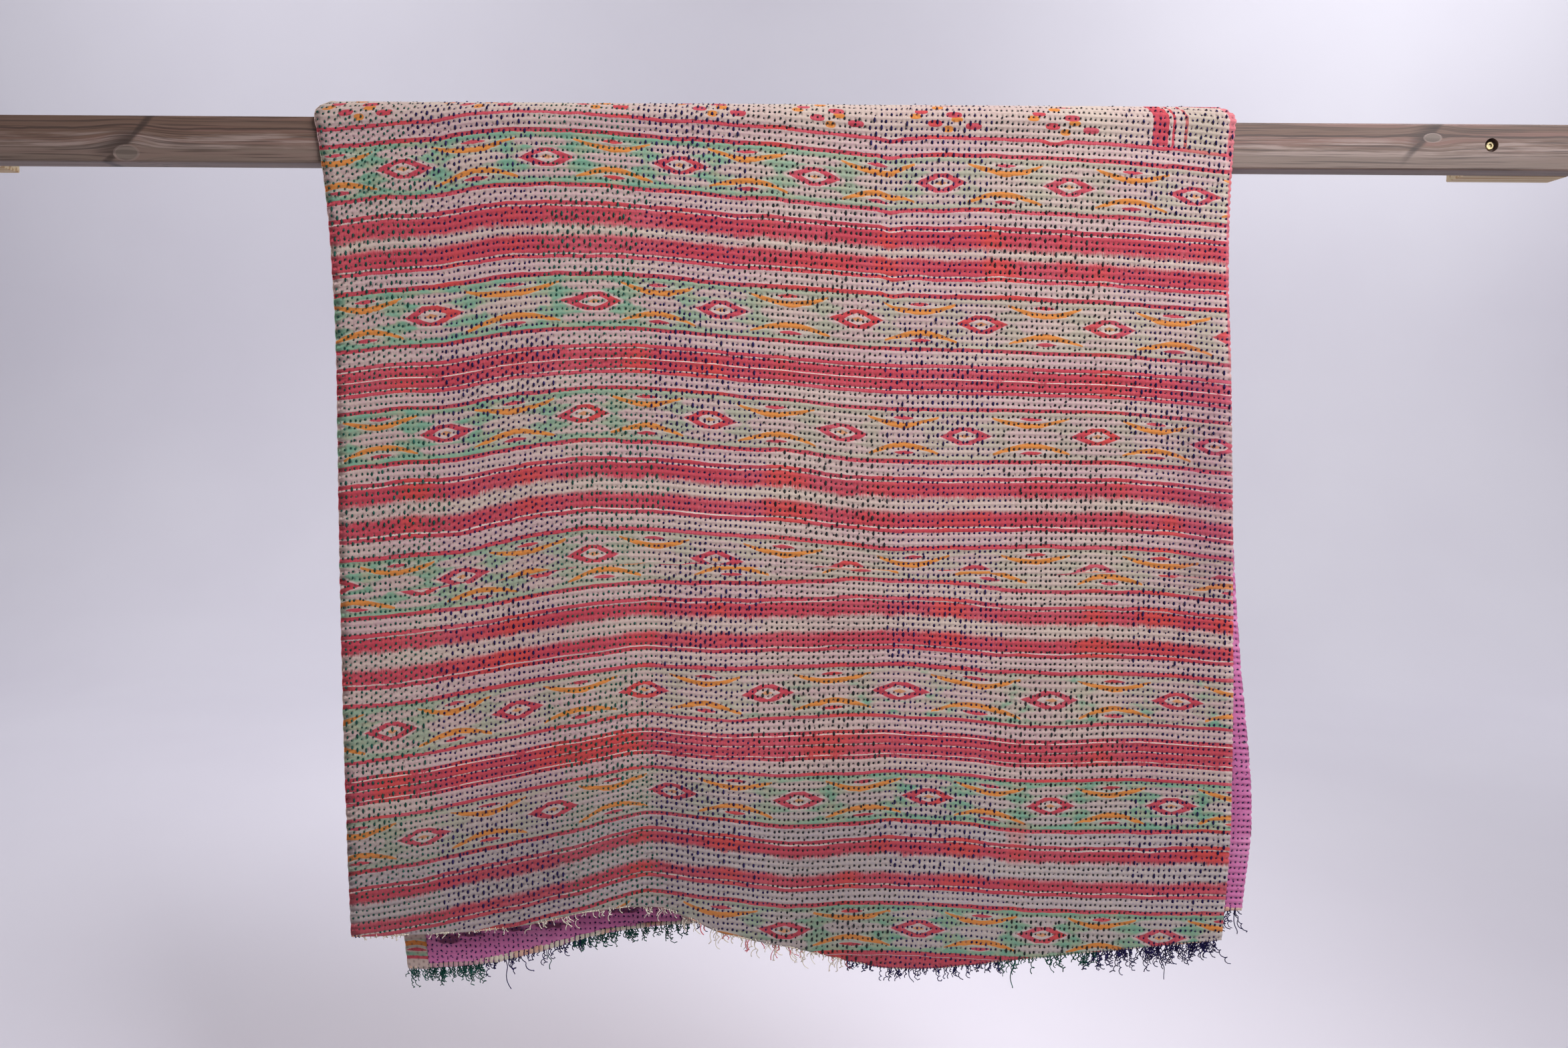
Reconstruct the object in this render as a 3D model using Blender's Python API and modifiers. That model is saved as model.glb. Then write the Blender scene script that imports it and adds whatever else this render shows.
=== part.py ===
"""Kantha quilt draped over a timber wall rail.

Metres, +Z up. X runs along the rail with zero at the middle of the quilt, +Y points into the wall,
and the origin lies on the wall plane at the rail's mid height. The quilt is modelled flat, in cloth
coordinates (across, row, depth), and each of its points is then draped over the rail.
"""
import math
import random
from collections import namedtuple

import bmesh
import bpy
from mathutils import Matrix, Vector

NAME = "kantha_quilt_on_wall_rail"
SEAT_GAP = 0.0003            # clearance between touching pieces
EDGE_CLEARANCE = 0.0022      # how far the draped cloth stands off the rail's long edges
SNUG_HALF_HEIGHT = 0.010     # it touches the rail's faces only this far above and below mid height

# Rail, spacer blocks and screws
RAIL_LEFT, RAIL_RIGHT = -1.280, 1.160
RAIL_HEIGHT, RAIL_DEPTH, RAIL_EASING = 0.063, 0.038, 0.0025
BLOCK_LENGTH, BLOCK_HEIGHT, BLOCK_DEPTH, BLOCK_EASING = 0.148, 0.063, 0.045, 0.001
BLOCK_CENTRES = {"left": -1.175, "right": 1.045}
SCREW_PLACES = {"left": -1.117, "right": 0.987}
SCREW_HEAD_RADIUS, SCREW_HEAD_HEIGHT, SCREW_SHANK_RADIUS = 0.0058, 0.0040, 0.0025
SCREW_RECESS_RADIUS, SCREW_RECESS_DEPTH = 0.0028, 0.0016
SCREW_STOP_FROM_WALL = 0.008
SCREW_HEIGHT = 0.003         # above the rail's mid height
SCREW_STEPS = 20
COUNTERBORE_RADIUS, COUNTERBORE_DEPTH = 0.0093, 0.0085
CUTTER_OVERSHOOT = 0.002

# Cloth
CLOTH_WIDTH = 1.265
FACE_THICKNESS, BACKING_THICKNESS = 0.0018, 0.0016
RIB_HEIGHT = 0.0010          # crest to trough of the quilting between two rows of stitches
RIB_UNEVENNESS = 0.2         # share by which the ribs rise and flatten from place to place
RIB_DRIFT_DOWN, RIB_DRIFT_ACROSS = 0.37, 9.0    # how fast that changes, per row and per metre
SIDE_HEM_WIDTH, SIDE_HEM_THICKNESS = 0.032, 0.0008   # face cloth folded round the left edge
FRONT_ROWS, ARCH_ROWS, BACK_ROWS = 230, 14, 230    # two rows to a rib
ROW_SIZE = 0.0051            # length of cloth in a row, near enough for the short bits past a hem
RAIL_ZONE_ROWS, RAIL_ZONE_STEP, CELL_ROWS = 14, 2, 24

# Drape: one row for each line down the cloth. The falls are measured from the rail's top edge down to
# the hem, the bows are how far the hem stands out of the plane, towards the room.
Line = namedtuple("Line", "across front_fall back_fall front_bow back_bow")
DRAPE = [
    Line(0.000, 1.166, 1.239, 0.006, 0.000),
    Line(0.165, 1.157, 1.229, -0.003, 0.004),
    Line(0.270, 1.128, 1.212, 0.002, -0.003),
    Line(0.345, 1.119, 1.193, 0.013, 0.002),
    Line(0.385, 1.132, 1.184, 0.015, 0.004),
    Line(0.425, 1.156, 1.178, -0.002, 0.003),
    Line(0.510, 1.181, 1.170, -0.006, -0.002),
    Line(0.630, 1.208, 1.158, 0.007, 0.003),
    Line(0.810, 1.193, 1.148, -0.005, -0.004),
    Line(1.000, 1.163, 1.139, 0.004, 0.003),
]
# Side edges: the x of the left and the right edge, by how far down the fall they are.
Edge = namedtuple("Edge", "down left right")
FRONT_EDGES = [
    Edge(0.00, -0.636, 0.630), Edge(0.08, -0.624, 0.626), Edge(0.17, -0.617, 0.627),
    Edge(0.28, -0.614, 0.635), Edge(0.55, -0.616, 0.650), Edge(0.85, -0.615, 0.660),
    Edge(1.00, -0.612, 0.653),
]
BACK_EDGES = [
    Edge(0.00, -0.636, 0.630), Edge(0.20, -0.617, 0.640), Edge(0.45, -0.597, 0.660),
    Edge(0.65, -0.582, 0.681), Edge(0.87, -0.562, 0.709), Edge(1.00, -0.548, 0.700),
]
ARCH_RISE = 0.0215           # the stiff quilt stands up this far over the top of the rail
ARCH_EDGE_INSET = 0.022      # its corners round in there

# Fringe: strips of thread tails just under the hems, a row for each stretch of the hem
STRIP_HEIGHT = 0.0026
STRAND_WIDTH, STRAND_TIP_SCALE, STRAND_BENDS = 0.0022, 0.45, 2
Stretch = namedtuple("Stretch", "start end strands shortest longest long_tails")
FRONT_FRINGE = [
    Stretch(0.02, 0.38, 4, 0.004, 0.009, 0),
    Stretch(0.38, 0.58, 6, 0.006, 0.016, 1),
    Stretch(0.58, 0.81, 12, 0.008, 0.022, 1),
    Stretch(0.81, 0.99, 12, 0.012, 0.028, 1),
]
BACK_FRINGE = [
    Stretch(0.01, 0.18, 10, 0.012, 0.030, 0),
    Stretch(0.18, 0.41, 9, 0.008, 0.020, 1),
    Stretch(0.41, 0.99, 14, 0.008, 0.024, 2),
]
LONG_TAIL = 0.050
STRAND_SHIFT = 0.15          # share of its room by which a root is off the even spacing
STRAND_SWAY = 0.001          # towards or away from the wall

COLOURS = {  # linear rgb, roughness, metallic
    "face": ((0.50, 0.28, 0.24), 0.90, 0.0),
    "backing": ((0.52, 0.10, 0.30), 0.88, 0.0),
    "thread": ((0.03, 0.06, 0.10), 0.85, 0.0),
    "stained_timber": ((0.16, 0.095, 0.07), 0.65, 0.0),
    "raw_timber": ((0.52, 0.44, 0.35), 0.75, 0.0),
    "steel": ((0.45, 0.42, 0.38), 0.40, 1.0),
}

RAIL_BACK_Y = -BLOCK_DEPTH - SEAT_GAP
RAIL_FRONT_Y = RAIL_BACK_Y - RAIL_DEPTH
RAIL_TOP_Z = RAIL_HEIGHT / 2
FACE_INNER, FACE_OUTER = SEAT_GAP / 2, SEAT_GAP / 2 + FACE_THICKNESS         # depths in the cloth
BACKING_OUTER, BACKING_INNER = -SEAT_GAP / 2, -SEAT_GAP / 2 - BACKING_THICKNESS
SIDE_HEM_OUTER = BACKING_INNER - SEAT_GAP
SIDE_HEM_INNER = SIDE_HEM_OUTER - SIDE_HEM_THICKNESS
CLOTH_STAND_OFF = SEAT_GAP - SIDE_HEM_INNER
ARCH_HALF_WIDTH = RAIL_DEPTH / 2 + EDGE_CLEARANCE - SEAT_GAP + CLOTH_STAND_OFF
ARCH_CENTRE_Y = (RAIL_FRONT_Y + RAIL_BACK_Y) / 2
SCREW_TOP_Y = RAIL_FRONT_Y + COUNTERBORE_DEPTH - SEAT_GAP - SCREW_HEAD_HEIGHT
SCREW_LENGTH = -SCREW_STOP_FROM_WALL - SCREW_TOP_Y
LAST_ROW = FRONT_ROWS + ARCH_ROWS + BACK_ROWS


# ---------------------------------------------------------------- general helpers
def clear_scene():
    for obj in list(bpy.data.objects):
        bpy.data.objects.remove(obj, do_unlink=True)


def new_collection(name):
    collection = bpy.data.collections.new(name)
    bpy.context.scene.collection.children.link(collection)
    return collection


def material(name):
    if name in bpy.data.materials:
        return bpy.data.materials[name]
    colour, roughness, metallic = COLOURS[name]
    made = bpy.data.materials.new(name)
    made.use_nodes = True
    shader = made.node_tree.nodes["Principled BSDF"]
    shader.inputs["Base Color"].default_value = (*colour, 1.0)
    shader.inputs["Roughness"].default_value = roughness
    shader.inputs["Metallic"].default_value = metallic
    return made


def object_from_bmesh(bm, name, collection, material_name=None):
    mesh = bpy.data.meshes.new(name)
    bm.to_mesh(mesh)
    bm.free()
    obj = bpy.data.objects.new(name, mesh)
    collection.objects.link(obj)
    if material_name:
        mesh.materials.append(material(material_name))
    return obj


def box(name, collection, size, centre, easing, segments, material_name):
    bm = bmesh.new()
    bmesh.ops.create_cube(bm, size=1.0, matrix=Matrix.Diagonal((*size, 1.0)))
    obj = object_from_bmesh(bm, name, collection, material_name)
    obj.location = centre
    eased = obj.modifiers.new("eased_edges", "BEVEL")
    eased.width, eased.segments = easing, segments
    return obj


def smooth_step(value):
    value = min(max(value, 0.0), 1.0)
    return value * value * (3 - 2 * value)


def table_value(rows, at, column):
    """Read a named column of a table at a place along its first column, with a smooth curve."""
    places = [row[0] for row in rows]
    values = [getattr(row, column) for row in rows]
    at = min(max(at, places[0]), places[-1])
    i = max(k for k in range(len(places) - 1) if places[k] <= at)
    step = places[i + 1] - places[i]

    def slope(k):
        lo, hi = max(k - 1, 0), min(k + 1, len(places) - 1)
        return (values[hi] - values[lo]) / (places[hi] - places[lo])

    t = (at - places[i]) / step
    return ((2 * t ** 3 - 3 * t ** 2 + 1) * values[i] + (t ** 3 - 2 * t ** 2 + t) * step * slope(i)
            + (3 * t ** 2 - 2 * t ** 3) * values[i + 1] + (t ** 3 - t ** 2) * step * slope(i + 1))


# ---------------------------------------------------------------- the drape
def stand_off(z):
    """Distance of the cloth's middle layer from the rail's face: snug at mid height, clear of the edges."""
    slack = smooth_step((abs(z) - SNUG_HALF_HEIGHT) / (RAIL_TOP_Z - SNUG_HALF_HEIGHT))
    return CLOTH_STAND_OFF + (EDGE_CLEARANCE - SEAT_GAP) * slack


def bow(across, down, column):
    """The cloth leaves its plane only below the rail, more and more towards the hem."""
    return table_value(DRAPE, across, column) * smooth_step((down - 0.09) / 0.9)


def edge_x(edges, across, down):
    left, right = table_value(edges, down, "left"), table_value(edges, down, "right")
    return left + (right - left) * across


def middle_point(across, row):
    """Where a point of the cloth's middle layer lies once it is draped."""
    spread = across / CLOTH_WIDTH
    if row <= FRONT_ROWS:
        down = 1 - row / FRONT_ROWS
        z = RAIL_TOP_Z - down * table_value(DRAPE, spread, "front_fall")
        y = RAIL_FRONT_Y - stand_off(z) - bow(spread, down, "front_bow")
        return Vector((edge_x(FRONT_EDGES, spread, down), y, z))
    if row >= FRONT_ROWS + ARCH_ROWS:
        down = (row - FRONT_ROWS - ARCH_ROWS) / BACK_ROWS
        z = RAIL_TOP_Z - down * table_value(DRAPE, spread, "back_fall")
        y = RAIL_BACK_Y + stand_off(z) - bow(spread, down, "back_bow")
        return Vector((edge_x(BACK_EDGES, spread, down), y, z))
    angle = math.pi * (row - FRONT_ROWS) / ARCH_ROWS
    x = edge_x(FRONT_EDGES, spread, 0)
    x -= ARCH_EDGE_INSET * math.sin(angle) ** 2 * (2 * spread - 1) ** 3
    y = ARCH_CENTRE_Y - ARCH_HALF_WIDTH * math.cos(angle)
    return Vector((x, y, RAIL_TOP_Z + ARCH_RISE * math.sin(angle)))


def drape(point):
    """Move a point of the flat cloth (across, row, depth) to its draped place."""
    across, row, depth = point
    inside = min(max(across, 0.0), CLOTH_WIDTH)
    row_in = min(max(row, 0.0), float(LAST_ROW))
    a, b = max(inside - 0.01, 0.0), min(inside + 0.01, CLOTH_WIDTH)
    c, d = max(row_in - 0.5, 0.0), min(row_in + 0.5, float(LAST_ROW))
    along_x = (middle_point(b, row_in) - middle_point(a, row_in)) / (b - a)
    along_row = (middle_point(inside, d) - middle_point(inside, c)) / (d - c)
    outward = along_x.cross(along_row).normalized()
    return (middle_point(inside, row_in) + along_x.normalized() * (across - inside)
            + along_row * (row - row_in) + outward * depth)


# ---------------------------------------------------------------- cloth and fringes
def cloth_columns():
    return [line.across * CLOTH_WIDTH for line in DRAPE]


def cloth_rows():
    """Row numbers where the blank gets a line of points: close over the rail, far apart below it."""
    spring, set_down = FRONT_ROWS, FRONT_ROWS + ARCH_ROWS
    front_fall = range(0, spring - RAIL_ZONE_ROWS, CELL_ROWS)
    front_rail = range(spring - RAIL_ZONE_ROWS, spring, RAIL_ZONE_STEP)
    arch = range(spring, set_down)
    back_rail = range(set_down, set_down + RAIL_ZONE_ROWS, RAIL_ZONE_STEP)
    back_fall = range(set_down + RAIL_ZONE_ROWS, LAST_ROW + 1, CELL_ROWS)
    return [*front_fall, *front_rail, *arch, *back_rail, *back_fall]


def face_section():
    """The face cloth cut across: a flat band whose left edge folds round under the backing."""
    columns = cloth_columns()
    band = [(a, FACE_OUTER) for a in columns] + [(a, FACE_INNER) for a in reversed(columns[1:])]
    fold = [
        (SIDE_HEM_THICKNESS, FACE_INNER), (SIDE_HEM_THICKNESS, SIDE_HEM_OUTER),
        (SIDE_HEM_WIDTH, SIDE_HEM_OUTER), (SIDE_HEM_WIDTH, SIDE_HEM_INNER), (0.0, SIDE_HEM_INNER),
    ]
    return band + fold


def backing_section():
    columns = [SIDE_HEM_THICKNESS + SEAT_GAP] + cloth_columns()[1:]
    return [(a, BACKING_OUTER) for a in columns] + [(a, BACKING_INNER) for a in reversed(columns)]


def sweep(section, places, to_point):
    """Carry a closed section along a list of places and close both ends."""
    bm = bmesh.new()
    loop = [bm.verts.new(to_point(p, places[0])) for p in section]
    edges = [bm.edges.new((loop[i], loop[(i + 1) % len(loop)])) for i in range(len(loop))]
    bmesh.ops.contextual_create(bm, geom=edges)
    for before, after in zip(places, places[1:]):
        grown = bmesh.ops.extrude_edge_only(bm, edges=edges)["geom"]
        edges = [g for g in grown if isinstance(g, bmesh.types.BMEdge)]
        shift = Vector(to_point((0, 0), after)) - Vector(to_point((0, 0), before))
        bmesh.ops.translate(bm, verts=[g for g in grown if isinstance(g, bmesh.types.BMVert)], vec=shift)
    bmesh.ops.contextual_create(bm, geom=edges)
    return bm


def along_rows(point, row):
    return (point[0], row, point[1])


def raise_ribs(bm):
    """Cut the outer side into single rows, and lift every other row."""
    def is_outer(vert):
        return abs(vert.co.z - FACE_OUTER) < 1e-6

    rows = cloth_rows()
    for gap in sorted({b - a for a, b in zip(rows, rows[1:])} - {1}):
        runs = [e for e in bm.edges if is_outer(e.verts[0]) and is_outer(e.verts[1])
                and abs(abs(e.verts[0].co.y - e.verts[1].co.y) - gap) < 1e-3]
        bmesh.ops.subdivide_edges(bm, edges=runs, cuts=gap - 1, use_grid_fill=True)
    for vert in [v for v in bm.verts if is_outer(v) and 0.5 < v.co.y < LAST_ROW - 0.5]:
        row = round(vert.co.y)
        drift = math.sin(row * RIB_DRIFT_DOWN + vert.co.x * RIB_DRIFT_ACROSS)
        height = RIB_HEIGHT * (1 - RIB_UNEVENNESS + RIB_UNEVENNESS * drift)
        vert.co.z += height / 2 if row % 2 else -height / 2


def drape_between_lines(point):
    """Drape a point onto the flat facet between two of the sheet's lines, which every layer shares."""
    columns = cloth_columns()
    right = next(i for i in range(1, len(columns)) if point[0] <= columns[i] or i == len(columns) - 1)
    a, b = columns[right - 1], columns[right]
    share = (point[0] - a) / (b - a)
    return drape((a, point[1], point[2])).lerp(drape((b, point[1], point[2])), share)


def finish_cloth(bm, name, collection, material_name):
    bmesh.ops.triangulate(bm, faces=[f for f in bm.faces if len(f.verts) > 4])
    for vert in bm.verts:
        vert.co = drape_between_lines(vert.co)
    bmesh.ops.triangulate(bm, faces=bm.faces)    # layers that lie together then split alike
    bmesh.ops.recalc_face_normals(bm, faces=bm.faces)
    return object_from_bmesh(bm, name, collection, material_name)


def make_face(collection):
    bm = sweep(face_section(), cloth_rows(), along_rows)
    raise_ribs(bm)
    return finish_cloth(bm, "quilt_face", collection, "face")


def make_backing(collection):
    rows = cloth_rows()
    rows[0], rows[-1] = rows[0] + 1, rows[-1] - 1
    bm = sweep(backing_section(), rows, along_rows)
    return finish_cloth(bm, "quilt_backing", collection, "backing")


def strand_places(table, rng):
    """Root, room and length of every strand, worked out stretch by stretch."""
    strands = []
    for stretch in table:
        room = (stretch.end - stretch.start) * CLOTH_WIDTH / stretch.strands
        tails = rng.sample(range(stretch.strands), stretch.long_tails)
        for i in range(stretch.strands):
            shift = rng.uniform(-STRAND_SHIFT, STRAND_SHIFT)
            middle = stretch.start * CLOTH_WIDTH + room * (i + 0.5 + shift)
            length = LONG_TAIL if i in tails else rng.uniform(stretch.shortest, stretch.longest)
            strands.append((middle, room, length))
    return strands


def make_fringe(name, collection, hem_row, away, table, seed):
    """A narrow strip under a hem, with a strand drawn out of it at each root."""
    rng = random.Random(seed)
    strands = strand_places(table, rng)
    ends = (table[0].start * CLOTH_WIDTH, table[-1].end * CLOTH_WIDTH)
    cuts = {*ends, *(a for a in cloth_columns() if ends[0] < a < ends[1])}
    for middle, _, _ in strands:
        cuts |= {middle - STRAND_WIDTH / 2, middle + STRAND_WIDTH / 2}
    near = hem_row + away * SEAT_GAP / ROW_SIZE
    far = near + away * STRIP_HEIGHT / ROW_SIZE
    section = [(near, FACE_OUTER), (far, FACE_OUTER), (far, BACKING_INNER), (near, BACKING_INNER)]
    bm = sweep(section, sorted(cuts), lambda point, across: (across, point[0], point[1]))
    roots = {}
    for face in bm.faces:
        centre = face.calc_center_median()
        for index, (middle, _, _) in enumerate(strands):
            if abs(centre.y - far) < 1e-4 and abs(centre.x - middle) < STRAND_WIDTH / 4:
                roots[index] = face
    for index, (_, room, length) in enumerate(strands):
        face = roots[index]
        for _ in range(STRAND_BENDS):
            face = bmesh.ops.extrude_discrete_faces(bm, faces=[face])["faces"][0]
            reach = min(room / 2 - STRAND_WIDTH, length / 2) / STRAND_BENDS
            sway = rng.uniform(-STRAND_SWAY, STRAND_SWAY)
            step = Vector((rng.uniform(-reach, reach), away * length / STRAND_BENDS / ROW_SIZE, sway))
            centre = face.calc_center_median()
            taper = STRAND_TIP_SCALE ** (1 / STRAND_BENDS)
            for vert in face.verts:
                vert.co = centre + step + (vert.co - centre) * taper
    return finish_cloth(bm, name, collection, "thread")


# ---------------------------------------------------------------- rail, blocks and screws
def turned(name, collection, profile, place, material_name=None):
    """A profile of (radius, height) points turned about an axis that faces the room."""
    bm = bmesh.new()
    points = [bm.verts.new((radius, 0.0, height)) for radius, height in profile]
    for a, b in zip(points, points[1:]):
        bm.edges.new((a, b))
    obj = object_from_bmesh(bm, name, collection, material_name)
    obj.location = place
    obj.rotation_euler = (math.radians(90), 0.0, 0.0)
    screw = obj.modifiers.new("turned", "SCREW")
    screw.steps = screw.render_steps = SCREW_STEPS
    screw.use_merge_vertices, screw.merge_threshold = True, 0.00001
    return obj


def screw_place(side):
    return (SCREW_PLACES[side], SCREW_TOP_Y, SCREW_HEIGHT)


def make_screw(side, collection):
    """A pan-head screw with a round recess for the driver."""
    chamfer = SCREW_HEAD_HEIGHT / 4
    profile = [
        (0.0, -SCREW_RECESS_DEPTH), (SCREW_RECESS_RADIUS, -SCREW_RECESS_DEPTH), (SCREW_RECESS_RADIUS, 0.0),
        (SCREW_HEAD_RADIUS - chamfer, 0.0), (SCREW_HEAD_RADIUS, -chamfer),
        (SCREW_HEAD_RADIUS, -SCREW_HEAD_HEIGHT), (SCREW_SHANK_RADIUS, -SCREW_HEAD_HEIGHT),
        (SCREW_SHANK_RADIUS, -SCREW_LENGTH), (0.0, -SCREW_LENGTH),
    ]
    return turned(f"rail_screw_{side}", collection, profile, screw_place(side), "steel")


def make_bore_cutter(side, collection):
    """The counterbore, and the hole that goes on through the rail and into the block."""
    hole = SCREW_SHANK_RADIUS + SEAT_GAP
    floor = -SCREW_HEAD_HEIGHT - SEAT_GAP
    mouth = floor + COUNTERBORE_DEPTH + CUTTER_OVERSHOOT
    end = -SCREW_LENGTH - SEAT_GAP
    profile = [
        (0.0, mouth), (COUNTERBORE_RADIUS, mouth), (COUNTERBORE_RADIUS, floor),
        (hole, floor), (hole, end), (0.0, end),
    ]
    cutter = turned(f"bore_cutter_{side}", collection, profile, screw_place(side))
    cutter.hide_render, cutter.display_type = True, "WIRE"
    return cutter


def cut(obj, cutter):
    bore = obj.modifiers.new(cutter.name, "BOOLEAN")
    bore.operation, bore.solver, bore.object = "DIFFERENCE", "EXACT", cutter


def make_rail(collection, cutters):
    size = (RAIL_RIGHT - RAIL_LEFT, RAIL_DEPTH, RAIL_HEIGHT)
    centre = ((RAIL_LEFT + RAIL_RIGHT) / 2, ARCH_CENTRE_Y, 0.0)
    rail = box("rail", collection, size, centre, RAIL_EASING, 2, "stained_timber")
    for cutter in cutters.values():
        cut(rail, cutter)
    return rail


def make_block(side, collection, cutter):
    """A block between the wall and the rail, flush with the rail's underside."""
    size = (BLOCK_LENGTH, BLOCK_DEPTH, BLOCK_HEIGHT)
    centre = (BLOCK_CENTRES[side], -BLOCK_DEPTH / 2, 0.0)
    block = box(f"spacer_block_{side}", collection, size, centre, BLOCK_EASING, 1, "raw_timber")
    cut(block, cutter)
    return block


def main():
    clear_scene()
    parts, cutting = new_collection(NAME), new_collection("cutters")
    cutters = {side: make_bore_cutter(side, cutting) for side in BLOCK_CENTRES}
    make_rail(parts, cutters)
    for side, cutter in cutters.items():
        make_block(side, parts, cutter)
        make_screw(side, parts)
    make_face(parts)
    make_backing(parts)
    make_fringe("fringe_front", parts, 0, -1, FRONT_FRINGE, seed=3)
    make_fringe("fringe_back", parts, LAST_ROW, 1, BACK_FRINGE, seed=5)


main()
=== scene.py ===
"""Looks of a kantha quilt draped over a timber wall rail.

Metres and +Z up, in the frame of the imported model: X runs along the rail, +Y points into the wall, and
the origin lies on the wall plane at the rail's mid height. The quilt is worked out in cloth coordinates.
"across" runs from its left edge to its right one. "down" is the way down the cloth from the rail's front
top edge, negative over the rail and down the back. "rib" is almost the same, but follows the quilting,
whose ribs and rows of stitches ride up and down a little. "depth" points out of the cloth's middle layer.
"""

import ast
import logging
import math
from dataclasses import dataclass, field
from enum import Enum
from typing import NamedTuple

import bmesh
import bpy
import numpy as np
from mathutils import Matrix, Vector


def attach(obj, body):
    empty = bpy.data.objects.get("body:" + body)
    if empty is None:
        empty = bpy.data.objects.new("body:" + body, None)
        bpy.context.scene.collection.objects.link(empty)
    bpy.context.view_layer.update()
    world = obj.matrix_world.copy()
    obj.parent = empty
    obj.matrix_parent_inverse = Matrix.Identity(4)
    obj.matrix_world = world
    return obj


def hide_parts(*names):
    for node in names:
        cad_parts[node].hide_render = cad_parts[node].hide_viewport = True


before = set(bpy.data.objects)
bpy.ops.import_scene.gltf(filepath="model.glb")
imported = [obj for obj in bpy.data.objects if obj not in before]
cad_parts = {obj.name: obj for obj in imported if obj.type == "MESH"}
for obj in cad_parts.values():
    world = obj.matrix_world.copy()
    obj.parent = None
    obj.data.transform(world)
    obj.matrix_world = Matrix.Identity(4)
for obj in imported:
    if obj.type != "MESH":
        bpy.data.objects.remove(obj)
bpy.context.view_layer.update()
LOG = logging.getLogger("kantha_quilt")
BODY = "root"
MM = 0.001
Array = np.ndarray
Link = bpy.types.NodeSocket | bpy.types.Node | float


# ---------------------------------------------------------------- small helpers
def linear(hex_colour: str) -> tuple[float, float, float, float]:
    """Turns an sRGB hex colour to the linear colour that shaders take.

    Args:
        hex_colour: six hex digits after a hash.

    Returns:
        Red, green, blue and an alpha of one.
    """
    parts = [int(hex_colour[i:i + 2], 16) / 255 for i in (1, 3, 5)]
    low = [part / 12.92 if part <= 0.04045 else ((part + 0.055) / 1.055) ** 2.4 for part in parts]
    return (*low, 1.0)


def smooth_step(value: Array) -> Array:
    """Eases a value from 0 to 1, and holds it there outside."""
    inside = np.clip(value, 0.0, 1.0)
    return inside * inside * (3 - 2 * inside)


def curve_through(places: Array, values: Array, at: Array) -> Array:
    """Reads the smooth curve that runs through a few values.

    Args:
        places: where the values are, growing.
        values: one value for each place.
        at: where to read; past the ends it holds the end value.

    Returns:
        The curve's value at each place asked for.
    """
    places, values = np.asarray(places, float), np.asarray(values, float)
    at = np.clip(at, places[0], places[-1])
    before = np.clip(np.searchsorted(places, at, side="right") - 1, 0, len(places) - 2)
    lower = np.maximum(np.arange(len(places)) - 1, 0)
    upper = np.minimum(np.arange(len(places)) + 1, len(places) - 1)
    slopes = (values[upper] - values[lower]) / (places[upper] - places[lower])
    step = places[before + 1] - places[before]
    t = (at - places[before]) / step
    leave = (2 * t ** 3 - 3 * t ** 2 + 1) * values[before]
    leave_slope = (t ** 3 - 2 * t ** 2 + t) * step * slopes[before]
    reach = (3 * t ** 2 - 2 * t ** 3) * values[before + 1]
    reach_slope = (t ** 3 - t ** 2) * step * slopes[before + 1]
    return leave + leave_slope + reach + reach_slope


def new_object(name: str, mesh: bpy.types.Mesh, material: bpy.types.Material) -> bpy.types.Object:
    """Puts a finished mesh in the scene, and lets it ride on the part.

    Args:
        name: the piece's name.
        mesh: its mesh, with every vertex in place.
        material: its finish.

    Returns:
        The new object, smooth shaded.
    """
    mesh.name = name
    mesh.materials.clear()
    mesh.materials.append(material)
    mesh.shade_smooth()
    made = bpy.data.objects.new(name, mesh)
    bpy.context.scene.collection.objects.link(made)
    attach(made, BODY)
    LOG.info("%s: %d faces", name, len(mesh.polygons))
    return made


def mesh_of(bm: bmesh.types.BMesh) -> bpy.types.Mesh:
    """Turns a bmesh to a mesh and frees it."""
    mesh = bpy.data.meshes.new("blank")
    bm.to_mesh(mesh)
    bm.free()
    return mesh


def closed_sheet(bm: bmesh.types.BMesh) -> None:
    """Gives a flat grid a second side one unit up, and walls all round."""
    raised = bmesh.ops.extrude_face_region(bm, geom=bm.faces[:])["geom"]
    upper = [part for part in raised if isinstance(part, bmesh.types.BMVert)]
    bmesh.ops.translate(bm, verts=upper, vec=(0, 0, 1))
    bmesh.ops.recalc_face_normals(bm, faces=bm.faces)


def evaluated_mesh(source: bpy.types.Object) -> bpy.types.Mesh:
    """Reads what an object's modifiers or bevel make of it, and takes the object out of the scene."""
    bpy.context.scene.collection.objects.link(source)
    graph = bpy.context.evaluated_depsgraph_get()
    mesh = bpy.data.meshes.new_from_object(source.evaluated_get(graph))
    bpy.data.objects.remove(source)
    return mesh


def corners(mesh: bpy.types.Mesh) -> Array:
    """Reads a mesh's vertices as rows of x, y and z."""
    flat = np.empty(len(mesh.vertices) * 3, np.float32)
    mesh.vertices.foreach_get("co", flat)
    return flat.reshape(-1, 3).astype(float)


def move_corners(mesh: bpy.types.Mesh, places: Array) -> None:
    """Puts a mesh's vertices at new places.

    Args:
        mesh: the mesh that changes.
        places: a row of x, y and z for each vertex.
    """
    mesh.vertices.foreach_set("co", places.astype(np.float32).ravel())
    mesh.update()


def lay_map(mesh: bpy.types.Mesh, name: str, pairs: Array) -> None:
    """Gives a mesh a UV map from two numbers for each vertex.

    Args:
        mesh: the mesh that gets the map.
        name: the map's name.
        pairs: two columns, a row for each vertex.
    """
    corner = np.empty(len(mesh.loops), np.int32)
    mesh.loops.foreach_get("vertex_index", corner)
    layer = mesh.uv_layers.new(name=name)
    layer.data.foreach_set("uv", pairs[corner].astype(np.float32).ravel())


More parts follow.
